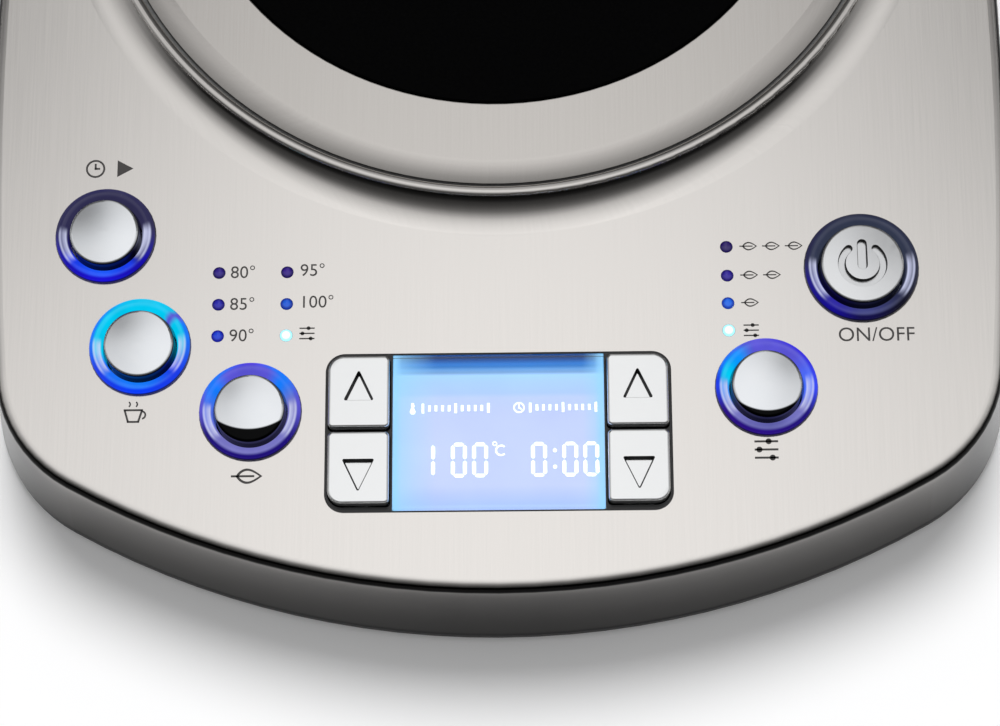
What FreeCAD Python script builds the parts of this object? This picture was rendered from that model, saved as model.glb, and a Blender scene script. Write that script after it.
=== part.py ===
import FreeCAD, Part
import math
import os

from FreeCAD import Vector

# Power base of an automatic tea maker: a steel deck with five lit push buttons, ten indicator
# windows, a display with four keys, and a round seat with a cordless connector for the jug.
# Millimetres, +Z up, the table at z = 0, the front towards -Y.
# Plan places are measured from the seat's axis and moved at export, so that the origin lies on
# the table under the middle of the whole base.

# ---- driving dimensions -------------------------------------------------------------------
DECK_Z = 28.0          # flat top of the steel deck
SHEET = 1.0            # steel thickness
SKIRT_Z = 4.0          # lower edge of the steel skirt
FLARE = 2.9            # how far the skirt leans out by its lower edge
ROLL = 2.4             # rolled edge between deck and skirt

FRONT_ARC_R = 171.2    # plan outline of the deck: front arc
FRONT_ARC_Y = 6.3
CORNER_R = 29.0        # front corners
SIDE_R = 680.0         # slightly bowed sides
HALF_WIDTH = 102.0
WIDEST_Y = -54.0

CREST_R = 83.85        # seat collar: radius and height of its rolled bead
BEAD_R = 1.1
CREST_Z = DECK_Z + 3.6
COVE_START = 92.0      # where the deck begins to curve up to the bead
SEAT_Z = DECK_Z + 3.0  # flat annulus that the jug stands on
PLATE_R = 81.8
SHOULDER_R = 10.5
SHOULDER_START = 77.2
DISC_R = 64.5          # black centre disc
DISC_Z = SEAT_Z - 0.2

BOSS_R = 19.5          # cordless connector
BOSS_TOP = DISC_Z + 13.0
DRIP_Z = DISC_Z + 1.0  # raised ring of the disc round the connector

PAN_Z = 2.0            # underside of the base pan; the feet fill the space below
PAN_FLOOR = 4.0
FOOT_R = 8.0
CHASSIS_Z = 24.2       # underside of the moulded chassis plate
UNDER_DECK = DECK_Z - SHEET

# Round buttons: centre, light ring radius, cap radius.
BUTTONS = {
    "auto_start": (-78.0, -91.5, 10.0, 6.9),
    "keep_warm": (-70.4, -115.0, 10.0, 6.9),
    "tea": (-48.4, -128.6, 10.0, 6.9),
    "custom": (52.3, -124.6, 10.0, 6.9),
    "power": (71.8, -99.9, 11.3, 8.2),
}
LEFT_BUTTONS = ("auto_start", "keep_warm", "tea")
RIGHT_BUTTONS = ("custom", "power")
POST_ANGLES = {
    "auto_start": (100, 190),
    "keep_warm": (60, 215),
    "tea": (250, 300),
    "custom": (240, 300),
    "power": (80, 340),
}
BUTTON_TRAVEL = 1.2
RING_TOP = DECK_Z + 1.7
CAP_EDGE_Z = DECK_Z + 2.9
CAP_CROWN = 0.2
STEM_R = 2.2
GUIDE_BORE = 2.25
GUIDE_Z = 20.0
BUSH_LOW = 18.6
BUSH_TOP = 22.6

# Indicator windows.
WINDOW_R = 1.2
LEFT_COLUMNS = (-55.2, -41.7)
LEFT_ROWS = (-99.5, -106.2, -112.8)
RIGHT_COLUMN = 45.3
RIGHT_ROWS = (-95.1, -101.2, -107.0, -112.7)

# Display panel.
PANEL_Y = -133.05
PANEL_W = 67.6
PANEL_H = 32.5
PANEL_CORNER = 3.8
WINDOW_W = 41.2
KEY_W = 11.9
KEY_H = 14.45
KEY_X = 27.15
KEY_GAP = 1.0
KEY_TOP = DECK_Z + 2.4
KEY_TRAVEL = 0.8
KEYS = {
    "temperature_up": (-1, 1),
    "temperature_down": (-1, -1),
    "time_up": (1, 1),
    "time_down": (1, -1),
}

# Boards.
PCB = 1.6
SWITCH_BOARD_Z = 11.5
DISPLAY_BOARD_Z = 15.3
POWER_BOARD_Z = 8.0
POWER_BOARD_Y = -54.0

# Screw positions in plan, under the deck's rim.
CASE_SCREWS = (
    (-92.0, -64.0), (92.0, -64.0), (-46.0, -149.5), (46.0, -149.5), (-66.0, 62.0), (66.0, 62.0),
)
CHASSIS_BOSS_Z = 8.0
FEET = ((-84.0, -118.0), (84.0, -118.0), (-62.0, 46.0), (62.0, 46.0), (0.0, -146.0))
INLET_Z = 12.6
INLET_BORE = 3.6
GLAND_R = 8.2


# ---- plan outline -------------------------------------------------------------------------
def corner_centre():
    """Centre of the right front corner: inside both the front arc and the side arc."""
    side = Vector(HALF_WIDTH - SIDE_R, WIDEST_Y, 0)
    front = Vector(0, FRONT_ARC_Y, 0)
    span = side.sub(front)
    reach_front = FRONT_ARC_R - CORNER_R
    reach_side = SIDE_R - CORNER_R
    along = (reach_front ** 2 - reach_side ** 2 + span.Length ** 2) / (2 * span.Length)
    across = math.sqrt(reach_front ** 2 - along ** 2)
    unit = Vector(span).normalize()
    normal = Vector(-unit.y, unit.x, 0)
    return front.add(unit.multiply(along)).add(normal.multiply(across))


SIDE_CENTRE = Vector(HALF_WIDTH - SIDE_R, WIDEST_Y, 0)
FRONT_CENTRE = Vector(0, FRONT_ARC_Y, 0)
CORNER_CENTRE = corner_centre()
REAR_R = SIDE_R - SIDE_CENTRE.Length
SEAT_Y = (FRONT_ARC_R - FRONT_ARC_Y - REAR_R) / 2


def angle_from(centre, point):
    return math.atan2(point.y - centre.y, point.x - centre.x)


def arc(centre, radius, start, end, z):
    def at(angle):
        return Vector(centre.x + radius * math.cos(angle), centre.y + radius * math.sin(angle), z)
    return Part.Arc(at(start), at((start + end) / 2), at(end)).toShape()


def outline_wire(offset, z):
    """The deck's outline, moved out by offset; every arc keeps its centre and its angles."""
    front_end = angle_from(FRONT_CENTRE, CORNER_CENTRE)
    corner_end = angle_from(SIDE_CENTRE, CORNER_CENTRE)
    side_end = angle_from(SIDE_CENTRE, Vector(0, 0, 0))
    left_side = Vector(-SIDE_CENTRE.x, SIDE_CENTRE.y, 0)
    left_corner = Vector(-CORNER_CENTRE.x, CORNER_CENTRE.y, 0)
    turn = math.pi
    edges = [
        arc(FRONT_CENTRE, FRONT_ARC_R + offset, -turn - front_end, front_end, z),
        arc(CORNER_CENTRE, CORNER_R + offset, front_end, corner_end, z),
        arc(SIDE_CENTRE, SIDE_R + offset, corner_end, side_end, z),
        arc(Vector(0, 0, 0), REAR_R + offset, side_end, turn - side_end, z),
        arc(left_side, SIDE_R + offset, turn - side_end, turn - corner_end, z),
        arc(left_corner, CORNER_R + offset, turn - corner_end, turn - front_end, z),
    ]
    return Part.Wire(edges)


def outline_solid(offset_low, z_low, offset_high, z_high):
    low = outline_wire(offset_low, z_low)
    high = outline_wire(offset_high, z_high)
    return Part.makeLoft([low, high], True, True)


def lean(z):
    """Offset of the skirt's outer face at height z."""
    return FLARE * (DECK_Z - z) / (DECK_Z - SKIRT_Z)


# ---- small shapes -------------------------------------------------------------------------
def cyl(x, y, r, z0, z1):
    return Part.makeCylinder(r, z1 - z0, Vector(x, y, z0))


def tube(x, y, r_in, r_out, z0, z1):
    return cyl(x, y, r_out, z0, z1).cut(cyl(x, y, r_in, z0 - 1, z1 + 1))


def box(x0, x1, y0, y1, z0, z1):
    return Part.makeBox(x1 - x0, y1 - y0, z1 - z0, Vector(x0, y0, z0))


def block(x, y, width, depth, z0, z1):
    return box(x - width / 2, x + width / 2, y - depth / 2, y + depth / 2, z0, z1)


def round_block(x, y, width, depth, radius, z0, z1):
    solid = block(x, y, width, depth, z0, z1)
    upright = [e for e in solid.Edges if abs(e.Vertexes[0].Z - e.Vertexes[1].Z) > 0.01]
    return solid.makeFillet(radius, upright)


def fuse(shapes):
    solid = shapes[0].multiFuse(shapes[1:])
    return solid.removeSplitter()


def revolve(points, x=0.0, y=0.0):
    """Solid of revolution from a closed (radius, z) outline; a triple holds an arc's mid point."""
    edges = []
    here = Vector(points[0][0], 0, points[0][1])
    start = here
    for step in points[1:] + [points[0]]:
        there = Vector(step[0], 0, step[1])
        if there.sub(here).Length < 1e-9:
            continue
        if len(step) == 4:
            edges.append(Part.Arc(here, Vector(step[2], 0, step[3]), there).toShape())
        else:
            edges.append(Part.LineSegment(here, there).toShape())
        here = there
    if here.sub(start).Length > 1e-9:
        edges.append(Part.LineSegment(here, start).toShape())
    face = Part.Face(Part.Wire(edges))
    solid = face.revolve(Vector(0, 0, 0), Vector(0, 0, 1), 360)
    solid.translate(Vector(x, y, 0))
    return solid


def on_arc(centre_r, centre_z, radius, degrees):
    angle = math.radians(degrees)
    return centre_r + radius * math.cos(angle), centre_z + radius * math.sin(angle)


def dome_mid(radius, rise):
    """A point half way out on a spherical dome of this rim radius and rise: radius, drop from the top."""
    sphere = (radius ** 2 + rise ** 2) / (2 * rise)
    half = radius / 2
    return half, sphere - math.sqrt(sphere ** 2 - half ** 2)


def save(name, *solids):
    shape = solids[0] if len(solids) == 1 else Part.makeCompound(list(solids))
    shape = shape.copy()
    shape.translate(Vector(0, SEAT_Y, 0))
    shape.exportStep("parts/" + name + ".step")


# ---- steel top cover ----------------------------------------------------------------------
def collar():
    """Drawn collar round the seat: a hollow curve up from the deck, a rolled bead, a flange inside."""
    inner_wall = CREST_R - BEAD_R
    outer_wall = CREST_R + BEAD_R
    bead_z = CREST_Z - BEAD_R
    run = COVE_START - outer_wall
    rise = bead_z - DECK_Z
    cove_r = (run ** 2 + rise ** 2) / (2 * rise)
    cove_z = DECK_Z + cove_r
    cove_turn = math.degrees(math.asin(run / cove_r))
    cove_mid = on_arc(COVE_START, cove_z, cove_r, 270 - cove_turn / 2)
    bead_out = on_arc(CREST_R, bead_z, BEAD_R, 45)
    bead_in = on_arc(CREST_R, bead_z, BEAD_R, 135)
    back = inner_wall + SHEET
    under_r = cove_r + SHEET
    under_turn = math.degrees(math.asin((COVE_START - back) / under_r))
    under_start = on_arc(COVE_START, cove_z, under_r, 270 - under_turn)
    under_mid = on_arc(COVE_START, cove_z, under_r, 270 - under_turn / 2)
    flange_top = UNDER_DECK + 1.2
    flange_low = flange_top - 0.8
    points = [
        (COVE_START + 1.0, DECK_Z),
        (COVE_START, DECK_Z),
        (outer_wall, bead_z, cove_mid[0], cove_mid[1]),
        (CREST_R, CREST_Z, bead_out[0], bead_out[1]),
        (inner_wall, bead_z, bead_in[0], bead_in[1]),
        (inner_wall, flange_top),
        (79.0, flange_top),
        (79.0, flange_low),
        (back, flange_low),
        under_start,
        (COVE_START, UNDER_DECK, under_mid[0], under_mid[1]),
        (COVE_START + 1.0, UNDER_DECK),
    ]
    return revolve(points)


def panel_hole(grow, z0, z1):
    width = PANEL_W + 2 * grow
    depth = PANEL_H + 2 * grow
    return round_block(0, PANEL_Y, width, depth, PANEL_CORNER + grow, z0, z1)


def window_places():
    left = [(x, y) for x in LEFT_COLUMNS for y in LEFT_ROWS]
    right = [(RIGHT_COLUMN, y) for y in RIGHT_ROWS]
    return left, right


def top_cover():
    outer = outline_solid(FLARE, SKIRT_Z, 0, DECK_Z)
    rim = [e for e in outer.Edges if all(abs(v.Z - DECK_Z) < 0.01 for v in e.Vertexes)]
    outer = outer.makeFillet(ROLL, rim)
    low = SKIRT_Z - 1.0
    inner = outline_solid(lean(low) - SHEET, low, lean(UNDER_DECK) - SHEET, UNDER_DECK)
    rim = [e for e in inner.Edges if all(abs(v.Z - UNDER_DECK) < 0.01 for v in e.Vertexes)]
    inner = inner.makeFillet(ROLL - SHEET, rim)
    cover = outer.cut(inner)
    seat_hole = COVE_START + 0.5
    cutters = [cyl(0, 0, seat_hole, UNDER_DECK - 1, DECK_Z + 1)]
    for x, y, ring_r, cap_r in BUTTONS.values():
        cutters.append(cyl(x, y, ring_r + 0.08, UNDER_DECK - 1, DECK_Z + 1))
    left, right = window_places()
    for x, y in left + right:
        cutters.append(cyl(x, y, WINDOW_R + 0.06, UNDER_DECK - 1, DECK_Z + 1))
    cutters.append(panel_hole(0.0, UNDER_DECK - 1, DECK_Z + 1))
    inlet = Part.makeCylinder(6.0, 20, Vector(0, REAR_R - 8, INLET_Z), Vector(0, 1, 0))
    cutters.append(inlet)
    cover = cover.cut(Part.makeCompound(cutters))
    return cover.fuse(collar()).removeSplitter()


# ---- seat ---------------------------------------------------------------------------------
def seat_plate():
    """Steel annulus: flat top, a shoulder that rolls down into the collar, a lip inside."""
    thick = 0.8
    centre_z = SEAT_Z - SHOULDER_R
    edge = math.degrees(math.acos((PLATE_R - SHOULDER_START) / SHOULDER_R))
    middle = (90 + edge) / 2
    top_mid = on_arc(SHOULDER_START, centre_z, SHOULDER_R, middle)
    top_end = on_arc(SHOULDER_START, centre_z, SHOULDER_R, edge)
    low_end = on_arc(SHOULDER_START, centre_z, SHOULDER_R - thick, edge)
    low_mid = on_arc(SHOULDER_START, centre_z, SHOULDER_R - thick, middle)
    lip = DISC_R + 0.3
    points = [
        (lip, SEAT_Z - 0.4),
        (lip + 0.4, SEAT_Z, lip + 0.117, SEAT_Z - 0.117),
        (SHOULDER_START, SEAT_Z),
        (top_end[0], top_end[1], top_mid[0], top_mid[1]),
        low_end,
        (SHOULDER_START, SEAT_Z - thick, low_mid[0], low_mid[1]),
        (lip + thick, SEAT_Z - thick),
        (lip + thick, SEAT_Z - 2.1),
        (lip, SEAT_Z - 2.1),
    ]
    return revolve(points)


def seat_disc():
    """Black moulded centre disc; a ring wall carries the plate, ribs stiffen it underneath."""
    low = DISC_Z - 2.2
    flange = UNDER_DECK + 1.2
    points = [
        (BOSS_R + 0.1, low),
        (BOSS_R + 0.1, DRIP_Z),
        (BOSS_R + 2.4, DRIP_Z),
        (BOSS_R + 3.4, DISC_Z),
        (DISC_R - 0.3, DISC_Z),
        (DISC_R, DISC_Z - 0.3),
        (DISC_R, flange),
        (66.4, flange),
        (66.4, SEAT_Z - 0.8),
        (68.2, SEAT_Z - 0.8),
        (68.2, flange),
        (76.0, flange),
        (76.0, UNDER_DECK),
        (60.0, UNDER_DECK),
        (60.0, low),
    ]
    disc = revolve(points)
    ribs = []
    count = 12
    for k in range(count):
        rib = box(29.0, 60.5, -0.8, 0.8, UNDER_DECK, low + 0.5)
        rib.rotate(Vector(0, 0, 0), Vector(0, 0, 1), 360.0 * k / count + 15)
        ribs.append(rib)
    for k in range(3):
        angle = math.radians(90 + 120 * k)
        x = 24.5 * math.cos(angle)
        y = 24.5 * math.sin(angle)
        disc = disc.cut(cyl(x, y, 1.25, low - 1, DISC_Z - 0.9))
    return fuse([disc] + ribs)


def seat_gasket():
    z0 = UNDER_DECK + 1.2
    return revolve([(79.6, z0), (82.6, z0), (82.6, z0 + 0.99), (79.6, z0 + 0.99)])


# ---- cordless connector -------------------------------------------------------------------
def connector_body():
    """Round boss with two contact grooves and a centre hole, on a screwed flange."""
    flange_top = DISC_Z - 2.2
    flange_low = flange_top - 2.4
    points = [
        (0.0, 16.0),
        (17.0, 16.0),
        (17.0, flange_low),
        (28.0, flange_low),
        (28.0, flange_top),
        (BOSS_R - 0.2, flange_top),
        (BOSS_R - 0.2, DRIP_Z),
        (BOSS_R, DRIP_Z),
        (BOSS_R, BOSS_TOP - 1.2),
        (BOSS_R - 1.2, BOSS_TOP, BOSS_R - 0.35, BOSS_TOP - 0.35),
        (16.4, BOSS_TOP),
        (16.4, BOSS_TOP - 9.0),
        (14.4, BOSS_TOP - 9.0),
        (14.4, BOSS_TOP),
        (10.6, BOSS_TOP),
        (10.6, BOSS_TOP - 9.0),
        (8.6, BOSS_TOP - 9.0),
        (8.6, BOSS_TOP),
        (4.6, BOSS_TOP),
        (3.6, BOSS_TOP - 1.0),
        (3.6, 28.0),
        (0.0, 28.0),
    ]
    body = revolve(points)
    for k in range(3):
        angle = math.radians(90 + 120 * k)
        x = 24.5 * math.cos(angle)
        y = 24.5 * math.sin(angle)
        body = body.cut(cyl(x, y, 1.6, flange_low - 1, flange_top + 1))
    slots = [block(15.4, 0, 1.0, 4.4, 10, 36), block(-9.6, 0, 1.0, 4.4, 10, 36)]
    slots.append(block(0, -1.4, 4.4, 1.0, 10, 29))
    return body.cut(Part.makeCompound(slots))


def contact_rings():
    """Two sprung brass rings at the bottom of the grooves, each with a tab below the body."""
    low = BOSS_TOP - 9.0
    outer = tube(0, 0, 14.8, 16.0, low, low + 3.5)
    outer_tab = block(15.4, 0, 0.8, 4.0, 11, low + 1.0)
    inner = tube(0, 0, 9.0, 10.2, low, low + 3.5)
    inner_tab = block(-9.6, 0, 0.8, 4.0, 11, low + 1.0)
    return [fuse([outer, outer_tab]), fuse([inner, inner_tab])]


def earth_pin():
    top = BOSS_TOP - 0.8
    half, drop = dome_mid(2.2, 1.4)
    pin = revolve([(0, 28.0), (2.2, 28.0), (2.2, top - 1.4), (0.0, top, half, top - drop)])
    tab = block(0, -1.4, 4.0, 0.8, 11, 28.5)
    return fuse([pin, tab])


def connector_screws():
    flange_low = DISC_Z - 4.6
    screws = []
    for k in range(3):
        angle = math.radians(90 + 120 * k)
        x = 24.5 * math.cos(angle)
        y = 24.5 * math.sin(angle)
        head = cyl(x, y, 2.6, flange_low - 1.6, flange_low)
        shank = cyl(x, y, 1.2, flange_low, DISC_Z - 1.2)
        recess = block(x, y, 0.7, 3.0, flange_low - 2.0, flange_low - 0.8)
        cross = block(x, y, 3.0, 0.7, flange_low - 2.0, flange_low - 0.8)
        screws.append(head.fuse(shank).cut(recess).cut(cross))
    return screws


# ---- chassis ------------------------------------------------------------------------------
def chassis():
    """Moulded plate under the deck; it locates the rings, guides and panel, and takes the screws."""
    inset = SHEET + 1.5
    plate = outline_solid(-inset, CHASSIS_Z, -inset, UNDER_DECK)
    low = CHASSIS_Z - 1
    high = UNDER_DECK + 1
    cutters = [cyl(0, 0, 57.0, low, high)]
    for x, y, ring_r, cap_r in BUTTONS.values():
        cutters.append(cyl(x, y, ring_r + 0.2, low, high))
        cutters.append(cyl(x, y, ring_r + 1.6, UNDER_DECK - 1.6, high))
    left, right = window_places()
    for x, y in left + right:
        cutters.append(cyl(x, y, WINDOW_R + 0.2, low, high))
    cutters.append(panel_hole(0.2, low, high))
    cutters.append(panel_hole(2.2, UNDER_DECK - 1.5, high))
    slot = block(0, 88.0, 26, 14, low, high)
    cutters.append(slot)
    plate = plate.cut(Part.makeCompound(cutters))
    bosses = []
    pilots = []
    for x, y in CASE_SCREWS:
        bosses.append(cyl(x, y, 3.6, CHASSIS_BOSS_Z, CHASSIS_Z + 0.5))
        for turn in (0, 90):
            web = block(x, y, 12.0, 1.2, CHASSIS_BOSS_Z + 8, CHASSIS_Z + 0.5)
            web.rotate(Vector(x, y, 0), Vector(0, 0, 1), turn + 45)
            bosses.append(web)
        pilots.append(cyl(x, y, 1.3, CHASSIS_BOSS_Z - 1, CHASSIS_BOSS_Z + 12))
    wall = outline_solid(-inset, CHASSIS_Z - 3, -inset, CHASSIS_Z + 0.5)
    wall = wall.cut(outline_solid(-inset - 1.6, CHASSIS_Z - 4, -inset - 1.6, CHASSIS_Z + 1))
    body = fuse([plate, wall] + bosses)
    return body.cut(Part.makeCompound(pilots))


# ---- base pan -----------------------------------------------------------------------------
def pillar(x, y, top):
    return [cyl(x, y, 2.6, PAN_FLOOR - 0.5, top), cyl(x, y, 1.2, top - 0.5, top + PCB + 1.0)]


def board_pillars():
    places = []
    for x, y in left_board_holes() + right_board_holes():
        places.append((x, y, SWITCH_BOARD_Z))
    for x, y in display_board_holes():
        places.append((x, y, DISPLAY_BOARD_Z))
    for x, y in power_board_holes():
        places.append((x, y, POWER_BOARD_Z))
    return places


def base_pan():
    """Black moulded underside: rim under the skirt, low wall, screw wells, ribs, vents, pillars."""
    rim = outline_solid(FLARE, PAN_Z, FLARE - 0.05, SKIRT_Z - 0.05)
    inside = SHEET + 0.25
    wall_low = lean(SKIRT_Z) - inside
    wall_high = lean(9.0) - inside
    wall = outline_solid(wall_low, SKIRT_Z - 0.5, wall_high, 9.0)
    hollow = outline_solid(wall_low - 1.8, PAN_FLOOR, wall_high - 1.8, 10.0)
    pan = fuse([rim, wall]).cut(hollow)
    rim_edge = [e for e in pan.Edges if all(abs(v.Z - PAN_Z) < 0.01 for v in e.Vertexes)]
    pan = pan.makeChamfer(0.4, rim_edge)
    added = []
    taken = []
    limit = outline_solid(wall_low - 1.0, PAN_FLOOR - 0.5, wall_low - 1.0, PAN_FLOOR + 2.0)
    for x in (-72, -36, 0, 36, 72):
        added.append(block(x, -32, 1.4, 280, PAN_FLOOR - 0.5, PAN_FLOOR + 1.6).common(limit))
    for y in (-126, -84, -22, 30, 62):
        added.append(block(0, y, 240, 1.4, PAN_FLOOR - 0.5, PAN_FLOOR + 1.6).common(limit))
    for x, y in CASE_SCREWS:
        added.append(cyl(x, y, 5.4, PAN_FLOOR - 0.5, CHASSIS_BOSS_Z))
        taken.append(cyl(x, y, 1.7, PAN_Z - 1, CHASSIS_BOSS_Z + 1))
        taken.append(cyl(x, y, 3.7, PAN_Z - 1, PAN_Z + 2.4))
    for x, y, top in board_pillars():
        added.extend(pillar(x, y, top))
    for x, y in FEET:
        added.append(cyl(x, y, FOOT_R + 1.8, PAN_FLOOR - 0.5, PAN_FLOOR + 0.8))
        taken.append(cyl(x, y, FOOT_R + 0.15, PAN_Z - 1, PAN_Z + 0.8))
        taken.append(cyl(x, y, 3.1, PAN_Z, PAN_Z + 2.0))
    for row in (-66.0, -44.0):
        for k in range(9):
            slot = round_block(-44 + 11 * k, row, 2.2, 15, 1.05, PAN_Z - 1, PAN_FLOOR + 3)
            taken.append(slot)
    for row in (12.0, 27.0):
        for k in range(5):
            slot = round_block(-22 + 11 * k, row, 2.2, 10, 1.05, PAN_Z - 1, PAN_FLOOR + 3)
            taken.append(slot)
    taken.append(Part.makeCylinder(GLAND_R + 0.3, 14, Vector(0, REAR_R - 8, INLET_Z), Vector(0, 1, 0)))
    pan = fuse([pan] + added).cut(Part.makeCompound(taken))
    return pan


def case_screws():
    screws = []
    for x, y in CASE_SCREWS:
        head = cyl(x, y, 3.4, PAN_Z + 0.6, PAN_Z + 2.4)
        shank = cyl(x, y, 1.25, PAN_Z + 2.4, CHASSIS_BOSS_Z + 9)
        cross = block(x, y, 4.0, 0.9, PAN_Z, PAN_Z + 1.6)
        other = block(x, y, 0.9, 4.0, PAN_Z, PAN_Z + 1.6)
        screws.append(head.fuse(shank).cut(cross).cut(other))
    return screws


def rubber_feet():
    feet = []
    for x, y in FEET:
        top = PAN_Z + 0.8
        foot = revolve([(0, 0), (FOOT_R - 1.0, 0), (FOOT_R, 1.0), (FOOT_R, top), (3.0, top),
                        (3.0, top + 1.1), (0, top + 1.1)], x, y)
        feet.append(foot)
    return feet


# ---- round buttons ------------------------------------------------------------------------
def light_ring(name):
    """Clear light guide: rounded rim above the deck, flange under it, tube down to the lamps."""
    x, y, ring_r, cap_r = BUTTONS[name]
    bore = cap_r + 0.35
    flange_low = UNDER_DECK - 1.6
    mid = (ring_r + bore + 0.4) / 2
    points = [
        (bore, 22.8),
        (ring_r - 0.6, 22.8),
        (ring_r - 0.1, flange_low),
        (ring_r + 1.4, flange_low),
        (ring_r + 1.4, UNDER_DECK),
        (ring_r, UNDER_DECK),
        (ring_r, DECK_Z + 0.25),
        (mid, RING_TOP, ring_r - 0.36, RING_TOP - 0.42),
        (bore + 0.3, DECK_Z + 0.6, bore + 0.65, RING_TOP - 0.35),
        (bore, DECK_Z - 0.2),
    ]
    return revolve(points, x, y)


def button_cap(name):
    """Plated cap with a hollow skirt, and the stem that runs in the guide and works the switch."""
    x, y, ring_r, cap_r = BUTTONS[name]
    edge = 0.6
    wall = 1.0
    under = CAP_EDGE_Z - 1.1
    round_mid = on_arc(cap_r - edge, CAP_EDGE_Z - edge, edge, 45)
    half, drop = dome_mid(cap_r - edge, CAP_CROWN)
    top = CAP_EDGE_Z + CAP_CROWN
    points = [
        (0, BUSH_LOW - 0.82),
        (STEM_R + 0.2, BUSH_LOW - 0.82),
        (STEM_R + 0.6, BUSH_LOW - 0.42),
        (STEM_R + 0.6, BUSH_LOW - 0.02),
        (STEM_R, BUSH_LOW - 0.02),
        (STEM_R, under),
        (cap_r - wall, under),
        (cap_r - wall, 25.2),
        (cap_r, 25.2),
        (cap_r, CAP_EDGE_Z - edge),
        (cap_r - edge, CAP_EDGE_Z, round_mid[0], round_mid[1]),
        (0, top, half, top - drop),
    ]
    cap = revolve(points, x, y)
    slot = block(x, y, 1.0, 8.0, BUSH_LOW - 2, BUSH_LOW + 1.6)
    return cap.cut(slot)


def return_spring(name):
    """Compression spring between the guide's bush and the underside of the cap."""
    x, y, ring_r, cap_r = BUTTONS[name]
    wire = 0.22
    mean_r = STEM_R + 1.2
    low = BUSH_TOP + wire
    high = CAP_EDGE_Z - 1.1 - wire
    turns = 5
    helix = Part.makeHelix((high - low) / turns, high - low, mean_r)
    side = wire * 0.92
    corners = [
        Vector(mean_r - side, 0, -side),
        Vector(mean_r + side, 0, -side),
        Vector(mean_r + side, 0, side),
        Vector(mean_r - side, 0, side),
    ]
    profile = Part.makePolygon(corners + [corners[0]])
    spring = Part.Wire(helix).makePipeShell([profile], True, True)
    spring.translate(Vector(x, y, low))
    return spring


def guide(names):
    """Arm under the chassis with a bush for each stem, hung on corner posts."""
    arms = []
    bores = []
    centres = [BUTTONS[name][:2] for name in names]
    for x, y in centres:
        arms.append(cyl(x, y, 6.0, GUIDE_Z, GUIDE_Z + 1.8))
        arms.append(cyl(x, y, 4.2, BUSH_LOW, BUSH_TOP))
        bores.append(cyl(x, y, GUIDE_BORE, BUSH_LOW - 1, BUSH_TOP + 1))
    for start, end in zip(centres, centres[1:]):
        length = math.dist(start, end)
        arm = box(0, length, -2.6, 2.6, GUIDE_Z, GUIDE_Z + 1.8)
        rib = box(0, length, -0.6, 0.6, GUIDE_Z - 1.2, GUIDE_Z + 0.5)
        both = fuse([arm, rib])
        heading = math.degrees(math.atan2(end[1] - start[1], end[0] - start[0]))
        both.rotate(Vector(0, 0, 0), Vector(0, 0, 1), heading)
        both.translate(Vector(start[0], start[1], 0))
        arms.append(both)
    for name in names:
        x, y, ring_r, cap_r = BUTTONS[name]
        reach = ring_r + 4.2
        for turn in POST_ANGLES[name]:
            arm = box(0, reach, -1.6, 1.6, GUIDE_Z, GUIDE_Z + 1.8)
            arm = fuse([arm, cyl(reach, 0, 2.2, GUIDE_Z, CHASSIS_Z)])
            arm.rotate(Vector(0, 0, 0), Vector(0, 0, 1), turn)
            arm.translate(Vector(x, y, 0))
            arms.append(arm)
    return fuse(arms).cut(Part.makeCompound(bores))


def left_board_holes():
    return [(-88.0, -102.0), (-44.0, -94.0), (-57.5, -134.0)]


def right_board_holes():
    return [(84.5, -109.0), (50.5, -89.0), (44.5, -135.5)]


def switch_board(names, holes, corners):
    """Circuit board cut to the space under one group of buttons."""
    outline = [Vector(px, py, SWITCH_BOARD_Z) for px, py in corners]
    face = Part.Face(Part.makePolygon(outline + [outline[0]]))
    board = face.extrude(Vector(0, 0, PCB))
    upright = [e for e in board.Edges if abs(e.Vertexes[0].Z - e.Vertexes[1].Z) > 0.01]
    board = board.makeFillet(2.0, upright)
    for px, py in holes:
        board = board.cut(cyl(px, py, 1.3, SWITCH_BOARD_Z - 1, SWITCH_BOARD_Z + PCB + 1))
    return board


def push_switch(x, y):
    low = SWITCH_BOARD_Z + PCB
    body = round_block(x, y, 6.0, 6.0, 0.5, low, low + 2.5)
    actuator = cyl(x, y, 1.7, low + 2.0, BUSH_LOW - 0.82 - BUTTON_TRAVEL - 0.05)
    return fuse([body, actuator])


def lamps():
    """Surface-mounted lamps: four under each light ring, one under each indicator window."""
    low = SWITCH_BOARD_Z + PCB
    out = []
    for x, y, ring_r, cap_r in BUTTONS.values():
        for k in range(4):
            angle = math.radians(45 + 90 * k)
            px = x + 7.6 * math.cos(angle)
            py = y + 7.6 * math.sin(angle)
            out.append(block(px, py, 2.0, 2.0, low, low + 1.0))
    left, right = window_places()
    for x, y in left + right:
        out.append(block(x, y, 1.6, 1.6, low, low + 0.8))
    return out


# ---- indicator light guides ---------------------------------------------------------------
def light_guide(places):
    """One clear moulding: a pipe to each window, joined by a thin web under the chassis."""
    web_low = CHASSIS_Z - 1.5
    xs = [x for x, y in places]
    ys = [y for x, y in places]
    web = round_block((min(xs) + max(xs)) / 2, (min(ys) + max(ys)) / 2,
                      max(xs) - min(xs) + 5.0, max(ys) - min(ys) + 5.0, 2.0, web_low, CHASSIS_Z)
    if len(set(xs)) > 1:
        gap = round_block(sum(xs) / len(xs), sum(ys) / len(ys), 7.5, 10.0, 1.5, web_low - 1, CHASSIS_Z + 1)
        web = web.cut(gap)
    low = SWITCH_BOARD_Z + PCB + 1.3
    pipes = []
    for x, y in places:
        pipes.append(revolve([(0, low), (WINDOW_R, low), (WINDOW_R, DECK_Z), (WINDOW_R - 0.15, DECK_Z + 0.15),
                              (0, DECK_Z + 0.25)], x, y))
    return fuse([web] + pipes)


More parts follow.
